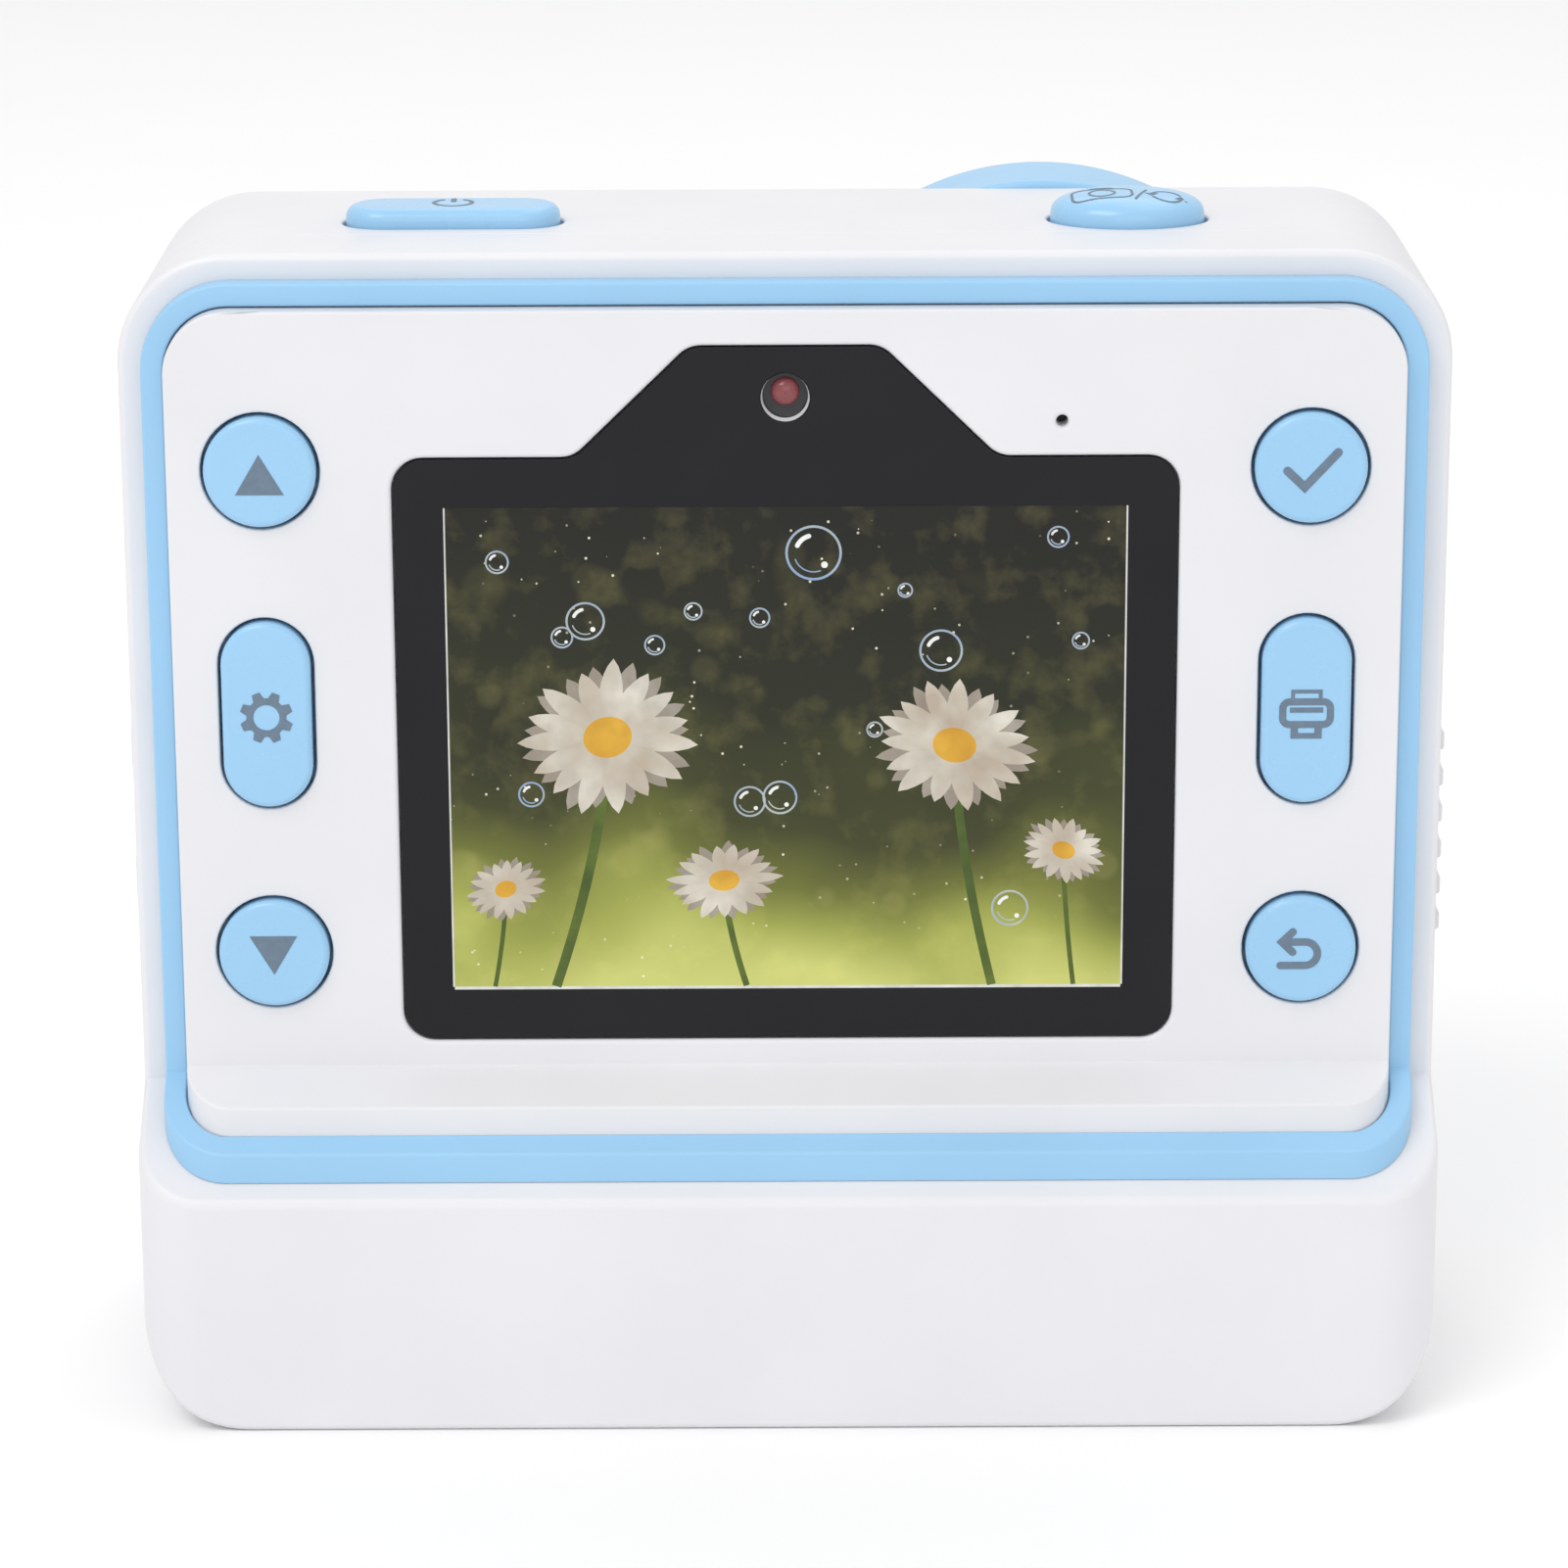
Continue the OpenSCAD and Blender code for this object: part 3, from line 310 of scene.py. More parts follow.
def meadow(name):
    """The lit picture: dark foliage, drifting specks of light and a sunlit meadow below."""
    s = Shader(name)
    x0, x1, z0, z1 = (v * MM for v in PICTURE)
    parts = s.add("ShaderNodeSeparateXYZ")
    s.link(s.coords, parts.inputs["Vector"])
    height = s.span(parts.outputs["Z"], 0, 1, (z0, z1))
    across = s.span(parts.outputs["X"], 0, 1, (x0, x1))
    soft = s.noise(13, 1.5)
    level = s.math("ADD", height, s.math("MULTIPLY", s.math("SUBTRACT", soft, 0.5), 0.5))
    level = s.math("ADD", level, s.math("MULTIPLY", across, 0.06))
    sky = s.ramp(level, [
        (0.0, (0.56, 0.58, 0.17)), (0.14, (0.33, 0.36, 0.075)), (0.27, (0.145, 0.16, 0.032)),
        (0.42, (0.05, 0.055, 0.016)), (0.62, (0.021, 0.023, 0.011)), (1.0, (0.012, 0.012, 0.009))])
    leafy = s.span(s.noise(2.6, 5), 0, 0.55, (0.5, 0.78))
    leaves = s.mix((0.0, 0.0, 0.0), (0.1, 0.09, 0.03), leafy)
    lit = s.add("ShaderNodeMix", data_type="RGBA", blend_type="ADD")
    lit.inputs[0].default_value = 1.0
    s.link(sky, lit.inputs[6])
    s.link(leaves, lit.inputs[7])
    specks = s.math("LESS_THAN", s.cells(1.15), 0.085)
    drift = s.span(s.noise(9, 2), 0, 0.8, (0.45, 0.6))
    glow = s.mix(lit.outputs[2], (0.86, 0.82, 0.62), s.math("MULTIPLY", specks, drift))
    bokeh = s.span(s.cells(5.2, "SMOOTH_F1"), 0.16, 0, (0.16, 0.24))
    low_down = s.span(height, 1, 0.25, (0.1, 0.75))
    glow = s.mix(glow, (0.45, 0.42, 0.14), s.math("MULTIPLY", bokeh, low_down))
    return lit_screen(s, glow, 1.1)


WHITE = (0.745, 0.745, 0.77)
BLUE = (0.3, 0.555, 0.8)

PAINT = {
    "casing_white": moulded("casing_white", WHITE, 0.36),
    "panel_white": moulded("panel_white", tint(WHITE, 0.985), 0.33),
    "trim_blue": moulded("trim_blue", BLUE, 0.33),
    "key_blue": moulded("key_blue", BLUE, 0.27, grain=0.3, coat=0.15),
    "flap_white": rubber("flap_white", WHITE, 0.5),
    "window_black": polished("window_black", (0.008, 0.008, 0.0105), 0.1, 0.22),
    "lens_red": polished("lens_red", (0.21, 0.05, 0.055), 0.12),
    "lens_clear": clear("lens_clear", (0.72, 0.78, 0.95), 0.0),
    "flash_clear": clear("flash_clear", (0.97, 0.97, 0.95), 0.12, 0.3),
    "dark_plastic": moulded("dark_plastic", (0.022, 0.022, 0.025), 0.46, depth=0.01),
    "circuit_board": circuit("circuit_board"),
    "sheet_steel": metal("sheet_steel", (0.6, 0.61, 0.63), 0.36),
    "pin_steel": metal("pin_steel", (0.56, 0.56, 0.58), 0.26, (10, 10, 1)),
    "led_yellow": moulded("led_yellow", (0.86, 0.72, 0.24), 0.4),
    "battery_wrap": metal("battery_wrap", (0.5, 0.53, 0.57), 0.42, (3, 3, 3)),
    "lead_red": rubber("lead_red", (0.55, 0.03, 0.03), 0.45),
    "flex_amber": moulded("flex_amber", (0.52, 0.22, 0.04), 0.3),
    "bay_grey": moulded("bay_grey", (0.62, 0.63, 0.66), 0.45, depth=0.008),
    "thermal_paper": wound_paper("thermal_paper", (0.88, 0.88, 0.87), 0.35),
    "core_card": wound_paper("core_card", (0.46, 0.31, 0.18), 0.5),
    "roller_rubber": rubber("roller_rubber", (0.024, 0.024, 0.026), 0.7),
    "gear_white": moulded("gear_white", (0.76, 0.76, 0.72), 0.42),
    "pinion_brass": metal("pinion_brass", (0.72, 0.52, 0.22), 0.28, (1, 8, 8)),
    "head_ceramic": moulded("head_ceramic", (0.74, 0.73, 0.68), 0.3),
}
INK = marking("marking_ink")


# ---- turning CAD nodes into finished pieces ----

def rebuilt(node):
    """A bmesh of a CAD node with welded vertices and whole flat faces, in millimetres."""
    bm = bmesh.new()
    bm.from_mesh(frame["nodes"][node].data)
    bmesh.ops.scale(bm, vec=(1000, 1000, 1000), verts=bm.verts)
    bmesh.ops.remove_doubles(bm, verts=bm.verts, dist=0.002)
    bmesh.ops.dissolve_degenerate(bm, dist=0.001, edges=bm.edges)
    bmesh.ops.dissolve_limit(bm, angle_limit=math.radians(0.4), verts=bm.verts, edges=bm.edges)
    return bm


def middle(edge):
    return (edge.verts[0].co + edge.verts[1].co) / 2


def rounded(bm, width, where, least=25, steps=3):
    """Rounds the outward edges sharper than least degrees whose middle where() picks."""
    chosen = []
    for edge in bm.edges:
        if len(edge.link_faces) != 2 or edge.calc_length() < 1e-4:
            continue
        if edge.calc_face_angle_signed(0) >= math.radians(least) and where(middle(edge)):
            chosen.append(edge)
    if chosen:
        bmesh.ops.bevel(bm, geom=chosen, offset=width, offset_type="OFFSET", segments=steps,
                        profile=0.5, affect="EDGES", clamp_overlap=False)


def finished(bm, name, material, body, replaces=(), sharp=38, more=()):
    """The bmesh as a smooth-shaded piece in metres that rides on body. Its edges over sharp
    degrees stay crisp, and more holds the materials after the first."""
    bmesh.ops.recalc_face_normals(bm, faces=bm.faces)
    bmesh.ops.scale(bm, vec=(MM, MM, MM), verts=bm.verts)
    for face in bm.faces:
        face.smooth = True
    for edge in bm.edges:
        edge.smooth = len(edge.link_faces) == 2 and edge.calc_face_angle(0) < math.radians(sharp)
    mesh = bpy.data.meshes.new(name)
    bm.to_mesh(mesh)
    bm.free()
    for one in (material, *more):
        mesh.materials.append(one)
    piece = bpy.data.objects.new(name, mesh)
    bpy.context.scene.collection.objects.link(piece)
    weighted = piece.modifiers.new("even_flats", "WEIGHTED_NORMAL")
    weighted.keep_sharp = True
    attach(piece, body)
    if replaces:
        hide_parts(*replaces)


def dress(node, slot, rounds, second=None):
    """Makes the finished piece of one CAD node. rounds is a list of (width, where, options).
    second is (slot, test) for faces with another finish, tested at their middle."""
    bm = rebuilt(node)
    for width, where, options in rounds:
        rounded(bm, width, where, **options)
    bmesh.ops.dissolve_degenerate(bm, dist=0.006, edges=bm.edges)
    more = ()
    if second:
        more = (PAINT[second[0]],)
        for face in bm.faces:
            if second[1](face.calc_center_median()):
                face.material_index = 1
    finished(bm, "look_" + node, PAINT[slot], BODY_OF[node], (node,), more=more)


def anywhere(at):
    return True


def on_front(at):
    """On the flat of the casing's lens side."""
    return abs(at.y - Y_FRONT) < 0.02


def by_door(at):
    """Round the paper door's opening."""
    return abs(at.x) < 34.5 and at.z < ABOVE_DOOR_Z


def on_front_rim(at):
    """The casing's front perimeter, and not the door opening or the holes beside it."""
    side, top, foot = HALF_W - 4.5, BODY_H - 4, 3.2
    return on_front(at) and (abs(at.x) > side or at.z > top or at.z < foot)


def on_outline(at):
    """On the casing's outer side surfaces, corners included."""
    def past_corner(dz):
        dx = abs(at.x) - (HALF_W - CORNER_R)
        return dx > 0 and dz > 0 and math.hypot(dx, dz) > CORNER_R - 0.12
    return (abs(at.x) > HALF_W - 0.1 or at.z < 0.1 or at.z > BODY_H - 0.1
            or past_corner(at.z - (BODY_H - CORNER_R)) or past_corner(CORNER_R - at.z))


def on_shell_skin(at):
    """Outer edges of the rear shell behind the split plane."""
    return at.y < Y_SPLIT - 0.1 and (on_outline(at) or abs(at.y - Y_BASE) < 0.1 or on_ledge(at))


def on_ledge(at):
    """The two long creases of the casing's sloped ledge and its ends."""
    on_slope = abs(at.z - (LEDGE_Z - (Y_RIM - at.y) * math.tan(LEDGE_ANGLE))) < 0.15
    return on_slope and Y_BASE - 0.1 < at.y < Y_RIM - 0.05


def on_split(at, reach):
    """On the outer edge of the joint between the casing's two halves."""
    return abs(at.y - Y_SPLIT) < reach and on_outline(at)


def on_panel_window(at):
    """Round the panel's window opening, and not round its outline or the keys."""
    return abs(at.x) < 30 and at.z > 27


# Casing
dress("rear_shell", "casing_white", [
    (0.55, lambda at: on_shell_skin(at) and at.y < Y_RIM + 0.8, {"least": 14, "steps": 4}),
    (0.12, lambda at: on_split(at, 0.05), {"steps": 2}),
])
dress("front_shell", "casing_white", [
    (3.0, on_front_rim, {"steps": 8}),
    (0.12, lambda at: on_split(at, 0.1), {"steps": 2}),
    (0.25, lambda at: on_front(at) and by_door(at), {}),
    (0.2, lambda at: on_front(at) and ABOVE_DOOR_Z < at.z < BODY_H - 3.5, {"steps": 2}),
    (0.22, lambda at: abs(at.z - BODY_H) < 0.02 and abs(at.y) < 6 and abs(at.x) < 34, {}),
])
dress("back_panel", "panel_white", [
    (0.08, lambda at: at.y < Y_PANEL - 2 and at.z < PANEL_LIP_Z, {"steps": 2}),
    (0.16, lambda at: (at.y < Y_PANEL + 0.02 and at.z > PANEL_LIP_Z
                       and not on_panel_window(at)), {}),
    (0.35, lambda at: abs(at.y - Y_PANEL) < 0.02 and on_panel_window(at), {}),
])
dress("trim_ring", "trim_blue", [(0.2, lambda at: at.y < Y_TRIM_LIP, {"least": 20})])
dress("screen_window", "window_black", [(0.15, anywhere, {"steps": 2})])
for key in ("up", "settings", "down", "ok", "print", "back"):
    dress("button_" + key, "key_blue", [(0.5, lambda at: at.y < KEY_FACE_Y + 0.02, {"steps": 5})])
dress("power_button", "key_blue", [(0.9, lambda at: at.z > POWER[2] - 0.02, {"steps": 6})])
dress("port_cover", "flap_white", [(0.22, lambda at: at.x > HALF_W + 0.2, {})])
dress("paper_door", "casing_white", [(0.35, on_front, {})])

# Lens side
dress("lens_barrel", "dark_plastic", [])
dress("lens_glass", "lens_clear", [])
dress("flash_window", "flash_clear", [(0.2, lambda at: at.y > 15, {"steps": 2})])
dress("speaker", "dark_plastic", [(0.3, anywhere, {"steps": 2})])
dress("flash_led", "led_yellow", [])


def arc(cx, cy, r, start, end, steps=24):
    """Points on a circle from start to end degrees."""
    return [(cx + r * math.cos(math.radians(start + (end - start) * i / steps)),
             cy + r * math.sin(math.radians(start + (end - start) * i / steps)))
            for i in range(steps + 1)]


def bridge(bm, first, second):
    """Faces between two closed rings with the same number of vertices."""
    count = len(first)
    for i in range(count):
        j = (i + 1) % count
        bm.faces.new((first[i], first[j], second[j], second[i]))


def lathe(bm, profile, cx, cz, segments=128, closed=True):
    """Turns (radius, y) points about the line along Y through cx, cz."""
    rings = []
    for r, y in profile:
        rings.append([])
        for i in range(segments):
            turn = 2 * math.pi * i / segments
            rings[-1].append(bm.verts.new((cx + r * math.cos(turn), y, cz + r * math.sin(turn))))
    for first, second in zip(rings, rings[1:]):
        bridge(bm, first, second)
    if closed:
        bridge(bm, rings[-1], rings[0])


# Lens ring, with the collar that carries it back over the rounded top edge
RING_BORE, RING_FRONT = 14.5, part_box("lens_ring")[1].y / MM
ring = bmesh.new()
lathe(ring, [(RING_BORE, 12.6)] + arc(20.5, 13.1, 0.5, -90, 0, 8)
      + arc(18.6, RING_FRONT - 2.4, 2.4, 0, 90, 12) + [(16.0, RING_FRONT)]
      + arc(15.3, RING_FRONT - 0.8, 0.8, 90, 180, 5) + [(RING_BORE, 15.6)],
      LENS_X, LENS_Z, 160)
finished(ring, "look_lens_ring", PAINT["trim_blue"], BODY_OF["lens_ring"],
         ("lens_ring",), 35)

# Lens bezel: a funnel with fine grooves round it, its profile as (radius, height over its seat)
BEZEL_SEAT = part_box("lens_bezel")[0].y / MM
BEZEL_BORE, BEZEL_OUTER, BEZEL_RIM = 8.1, 14.4, 5.6
FUNNEL_FOOT, FUNNEL_FOOT_R, FUNNEL_SLOPE = 2.1, 9.2, 2.8 / 3.8
bezel_profile = [(BEZEL_BORE, 0), (BEZEL_OUTER, 0), (BEZEL_OUTER, BEZEL_RIM - 0.15),
                 (BEZEL_OUTER - 0.15, BEZEL_RIM), (13.6, BEZEL_RIM), (13, 4.9)]
for n in range(7):
    groove_r = 12.6 - 0.5 * n
    groove_y = FUNNEL_FOOT + (groove_r - FUNNEL_FOOT_R) * FUNNEL_SLOPE
    bezel_profile += [(groove_r, groove_y), (groove_r - 0.1, groove_y - 0.22),
                      (groove_r - 0.2, groove_y - 0.147)]
bezel_profile += [(FUNNEL_FOOT_R, FUNNEL_FOOT), (BEZEL_BORE + 0.15, FUNNEL_FOOT),
                  (BEZEL_BORE, FUNNEL_FOOT - 0.15)]
bezel = bmesh.new()
lathe(bezel, [(r, BEZEL_SEAT + y) for r, y in bezel_profile], LENS_X, LENS_Z)
finished(bezel, "look_lens_bezel", PAINT["dark_plastic"], BODY_OF["lens_bezel"],
         ("lens_bezel",), 35)

# Selfie lens: a pale tapered wall, a dark floor at its bottom and a red-tinted dome on that
SPOT_FLOOR_Y = -16.12
SPOT_FLOOR_R = 1.62
selfie = bmesh.new()
lathe(selfie, [(1.75, WINDOW_Y + 0.01), (1.63, -16.25), (1.6, SPOT_FLOOR_Y), (1.1, -16.1),
               (1.0, SPOT_FLOOR_Y), (0.01, SPOT_FLOOR_Y)], 0, LENS_SPOT_Z, 64, closed=False)
for vert in selfie.verts:
    if math.hypot(vert.co.x, vert.co.z - LENS_SPOT_Z) < SPOT_FLOOR_R:
        vert.co.z += 0.1
lathe(selfie, [(r, -16.05 + 0.75 * y) for r, y in arc(0, 0, 1.05, -5, -88, 9)],
      0, LENS_SPOT_Z + 0.3, 48, closed=False)
for face in selfie.faces:
    at = face.calc_center_median()
    on_dome_skin = (at.y < SPOT_FLOOR_Y - 0.01
                    and math.hypot(at.x, at.z - LENS_SPOT_Z) < 1.45)
    face.material_index = 0 if on_dome_skin else 1 if at.y < -16.3 else 2
finished(selfie, "look_selfie_lens", PAINT["lens_red"], "casing", ("selfie_lens",), 50,
         (PAINT["panel_white"], PAINT["dark_plastic"]))

# Shutter key: a soft dome over the CAD key's flange and stem
STEM_CUT_Z = 84.47
SKIRT_FOOT_Z = 84.4
shutter = rebuilt("shutter_button")
bmesh.ops.bisect_plane(shutter, geom=shutter.verts[:] + shutter.edges[:] + shutter.faces[:],
                       plane_co=(0, 0, STEM_CUT_Z), plane_no=(0, 0, 1), clear_outer=True)


def dome_height(u, v):
    """Height of the shutter key's skin over a place measured from the key's middle."""
    share = min(1.0, math.hypot(u / SHUTTER_HALF[0], v / SHUTTER_HALF[1]))
    return DOME_FOOT + (SHUTTER[2] - DOME_FOOT) * (1 - share ** 3) ** (1 / 3)


around, last = 96, None
# The skirt's foot, then rings that crowd together where the dome turns down
shares = [1.0, 1.0, 0.999, 0.995, 0.987, 0.975, 0.955, 0.93, 0.9, 0.87, 0.84]
shares += [0.78 - 0.08 * i for i in range(10)]
for share in shares:
    now = []
    for i in range(around):
        u = SHUTTER_HALF[0] * share * math.cos(2 * math.pi * i / around)
        v = SHUTTER_HALF[1] * share * math.sin(2 * math.pi * i / around)
        height = dome_height(u, v) if last else SKIRT_FOOT_Z
        now.append(shutter.verts.new((SHUTTER[0] + u, SHUTTER[1] + v, height)))
    if last:
        bridge(shutter, last, now)
    last = now
shutter.faces.new(last)
finished(shutter, "look_shutter_button", PAINT["key_blue"], "key_shutter",
         ("shutter_button",), 50)

# Pieces behind the openings and inside: node, finish, and how its edges are softened, as the
# rounding's width, its steps and the least angle in degrees that it takes
INSIDE = [
    ("memory_card", "dark_plastic", (0.12, 2, 25)),
    ("usb_socket", "sheet_steel", (0.12, 2, 40)),
    ("card_socket", "sheet_steel", (0.12, 2, 40)),
    ("door_hinge_pin", "pin_steel", (0.1, 2, 40)),
    ("paper_bay", "bay_grey", (0.18, 2, 40)),
    ("paper_roll", "thermal_paper", (0.12, 2, 40)),
    ("roll_core", "core_card", (0.1, 2, 40)),
    ("platen_roller", "roller_rubber", (0.15, 2, 40)),
    ("platen_gear", "gear_white", None),
    ("idler_gear", "dark_plastic", None),
    ("motor_pinion", "pinion_brass", None),
    ("feed_motor", "sheet_steel", (0.3, 2, 40)),
    ("printer_frame", "sheet_steel", (0.12, 1, 40)),
    ("print_head", "head_ceramic", (0.15, 2, 40)),
    ("head_spring", "pin_steel", None),
    ("tear_bar", "pin_steel", None),
    ("case_screws", "pin_steel", (0.1, 1, 60)),
    ("board_screws", "pin_steel", None),
    ("main_board", "circuit_board", None),
    ("key_board_left", "circuit_board", None),
    ("key_board_right", "circuit_board", None),
    ("top_key_board", "circuit_board", None),
    ("key_switches", "sheet_steel", (0.15, 1, 60)),
    ("lcd_module", "sheet_steel", (0.2, 2, 25)),
    ("lcd_flex", "flex_amber", None),
    ("selfie_camera", "dark_plastic", (0.15, 2, 40)),
    ("microphone", "dark_plastic", (0.2, 2, 40)),
    ("image_sensor", "dark_plastic", (0.15, 2, 25)),
    ("battery", "battery_wrap", (0.5, 3, 25)),
    ("battery_leads", "lead_red", None),
]
# The roller's bare shaft ends, and the chips on the main board
SECOND_FINISH = {
    "platen_roller": ("pin_steel", lambda at: abs(at.x) > 28.6),
    "main_board": ("dark_plastic", lambda at: at.y > -5.55),
}
for node, slot, softening in INSIDE:
    rounds = []
    if softening:
        width, steps, least = softening
        rounds = [(width, anywhere, {"steps": steps, "least": least})]
    dress(node, slot, rounds, second=SECOND_FINISH.get(node))


# ---- printed marks on the keys ----

def dense(points, closed=False, step=0.25):
    """The same path with points at most step apart, so that a stroke can follow a curved key."""
    ends = points[1:] + points[:1] if closed else points[1:]
    path = []
    for (x0, y0), (x1, y1) in zip(points, ends):
        parts = max(1, math.ceil(math.hypot(x1 - x0, y1 - y0) / step))
        path += [(x0 + (x1 - x0) * i / parts, y0 + (y1 - y0) * i / parts)
                 for i in range(parts)]
    return path if closed else path + [points[-1]]


def ribbon(points, width, closed=False, caps=True):
    """Quads and end fans of a stroke along points."""
    count = len(points)
    half = width / 2
    left, right = [], []
    for i, here in enumerate(points):
        before = points[(i - 1) % count] if closed or i else None
        after = points[(i + 1) % count] if closed or i < count - 1 else None
        ways = []
        if before is not None:
            ways.append((Vector(here) - Vector(before)).normalized())
        if after is not None:
            ways.append((Vector(after) - Vector(here)).normalized())
        way = sum(ways, Vector((0, 0))).normalized()
        reach = half / max(0.5, way.dot(ways[0]))
        side = Vector((-way.y, way.x)) * reach
        left.append(Vector(here) + side)
        right.append(Vector(here) - side)
    polygons = []
    for i in range(count if closed else count - 1):
        j = (i + 1) % count
        polygons.append([left[i], right[i], right[j], left[j]])
    if caps and not closed:
        for at, edge in ((0, 1), (count - 1, -1)):
            across = left[at] - right[at]
            turn = math.degrees(math.atan2(across.y, across.x))
            fan = arc(points[at][0], points[at][1], half, turn, turn + 180 * edge, 10)
            polygons.append([Vector(p) for p in fan])
    return polygons


def plate(name, groups, place, body, material, thick=0.06):
    """Thin printed layer: polygons lie in a plane that place() maps into the frame, in
    millimetres. Each group of polygons lies a hair above the one before, so that they may
    cross."""
    bm = bmesh.new()
    for level, polygons in enumerate(groups):
        for polygon in polygons:
            top = [bm.verts.new(place(p[0], p[1], thick / 2 + 0.006 * level)) for p in polygon]
            low = [bm.verts.new(place(p[0], p[1], -thick / 2)) for p in polygon]
            bm.faces.new(top)
            for i in range(len(polygon)):
                j = (i + 1) % len(polygon)
                bm.faces.new((top[i], top[j], low[j], low[i]))
    finished(bm, name, material, body, sharp=30)


def on_key(x, z):
    return lambda u, v, lift: (x + u, KEY_FACE_Y - lift, z + v)


def disc(cx, cy, r, steps=40):
    return [Vector(p) for p in arc(cx, cy, r, 0, 360 - 360 / steps, steps - 1)]


def slab(x0, x1, y0, y1):
    return [Vector((x0, y0)), Vector((x1, y0)), Vector((x1, y1)), Vector((x0, y1))]


def gear_mark():
    """Eight-toothed wheel drawn as a band with teeth."""
    root, tip, root_half, tip_half = 1.35, 1.92, 0.42, 0.29
    teeth = []
    for i in range(8):
        angle = math.radians(i * 45 + 22.5)
        out = Vector((math.cos(angle), math.sin(angle)))
        side = Vector((-math.sin(angle), math.cos(angle)))
        teeth.append([out * root - side * root_half, out * tip - side * tip_half,
                      out * tip + side * tip_half, out * root + side * root_half])
    return [ribbon(arc(0, 0, 1.2, 0, 352.5, 47), 0.5, closed=True), teeth]


def round_box(w, h, r):
    """Closed path round a rectangle with rounded corners."""
    x, y = w / 2 - r, h / 2 - r
    return (arc(x, y, r, 0, 90, 6) + arc(-x, y, r, 90, 180, 6)
            + arc(-x, -y, r, 180, 270, 6) + arc(x, -y, r, 270, 360, 6))


def printer_mark():
    """A printer's body, the sheet going in and the sheet coming out."""
    return [ribbon(round_box(3.45, 1.7, 0.5), 0.52, closed=True),
            ribbon([(-1.0, 0.95), (-1.0, 1.62), (1.0, 1.62), (1.0, 0.95)], 0.27, caps=False),
            [slab(-1.2, 1.2, 0.05, 0.42), slab(-1.13, 1.13, -1.9, -1.5),
             slab(-1.13, -0.6, -1.5, -1.0), slab(0.6, 1.13, -1.5, -1.0)]]


def back_mark():
    """A hooked arrow that points left."""
    hook = [(-1.35, 0.72)] + arc(0.3, -0.18, 0.9, 90, -90, 20) + [(-1.5, -1.08)]
    head = [(-0.62, 1.5), (-1.42, 0.72), (-0.62, -0.06)]
    return [ribbon(hook, 0.56), ribbon(head, 0.56)]


UP_MARK = [Vector((-1.75, -1.5)), Vector((1.75, -1.5)), Vector((0, 1.45))]
DOWN_MARK = [Vector((-1.75, 1.5)), Vector((0, -1.45)), Vector((1.75, 1.5))]
TICK = [(-1.75, -0.05), (-0.5, -1.25), (1.85, 1.3)]
MARKS = {
    "up": (-KEY_X, KEY_ROWS[0], [[UP_MARK]]),
    "settings": (-KEY_X, KEY_ROWS[1], gear_mark()),
    "down": (-KEY_X, KEY_ROWS[2], [[DOWN_MARK]]),
    "ok": (KEY_X, KEY_ROWS[0], [ribbon(TICK, 0.62)]),
    "print": (KEY_X, KEY_ROWS[1], printer_mark()),
    "back": (KEY_X, KEY_ROWS[2], back_mark()),
}
for key, (x, z, shapes) in MARKS.items():
    plate("mark_" + key, shapes, on_key(x, z - 0.1), "key_" + key, INK)

# Power sign on the far half of its key
power_shapes = [ribbon(arc(0, 0, 1.4, 125, 415, 30), 0.33), ribbon([(0, 0.45), (0, 1.5)], 0.4)]
plate("mark_power", power_shapes,
      lambda u, v, lift: (POWER[0] + u, POWER[1] + 0.25 + v, POWER[2] + lift),
      "key_power", INK, 0.04)


def on_dome(u, v, lift):
    """Onto the shutter key's dome."""
    return (SHUTTER[0] + u, SHUTTER[1] + v, dome_height(u, v) + lift)


def moved(shapes, dx, dy):
    return [[p + Vector((dx, dy)) for p in shape] for shape in shapes]


# Shutter key's marks: a camera, a slash and two turning arrows
camera_shapes = (ribbon(dense(round_box(4.4, 2.8, 0.75), closed=True), 0.19, closed=True)
                 + ribbon(arc(0, 0, 0.95, 0, 345, 23), 0.18, closed=True)
                 + ribbon(dense([(-0.95, 1.45), (-0.65, 1.8), (0.65, 1.8), (0.95, 1.45)]), 0.18))
turn_shapes = (ribbon(arc(0, 0, 1.1, 25, 165, 16), 0.19)
               + ribbon(arc(0, 0, 1.1, 205, 345, 16), 0.19))
turn_tips = [[Vector((-1.55, 0.4)), Vector((-0.6, 0.4)), Vector((-1.1, -0.25))],
             [Vector((1.55, -0.4)), Vector((0.6, -0.4)), Vector((1.1, 0.25))]]
slash = ribbon(dense([(-0.45, -1.3), (0.45, 1.3)]), 0.2)
strokes = (moved(camera_shapes, -1.95, -1.05) + moved(slash, 0.9, -1.5)
           + moved(turn_shapes, 2.75, -1.7))
plate("mark_shutter", [strokes, moved(turn_tips, 2.75, -1.7)], on_dome, "key_shutter", INK, 0.05)


# ---- the lit picture ----

def on_screen(height):
    """Plane in front of the window's black face, height in millimetres."""
    return lambda u, v, lift: (u, WINDOW_Y - height - lift, v)


x0, x1, z0, z1 = PICTURE
plate("picture", [[slab(x0, x1, z0, z1)]], on_screen(0.004), "casing",
      meadow("picture_meadow"), 0.01)
rim_w, rim_h = 0.12, 0.22
rim = [slab(x0, x1, z0 - rim_h, z0), slab(x0 - rim_w, x0, z0, z1), slab(x1, x1 + rim_w, z0, z1)]
plate("picture_rim", [rim], on_screen(0.004), "casing",
      glowing("picture_edge", (0.8, 0.8, 0.76), 0.9), 0.01)

bubble_line = glowing("bubble_line", (0.62, 0.66, 0.62), 0.8, (0.35, 0.5, 0.75))
bubble_light = glowing("bubble_light", (0.95, 0.96, 0.9), 1.0)
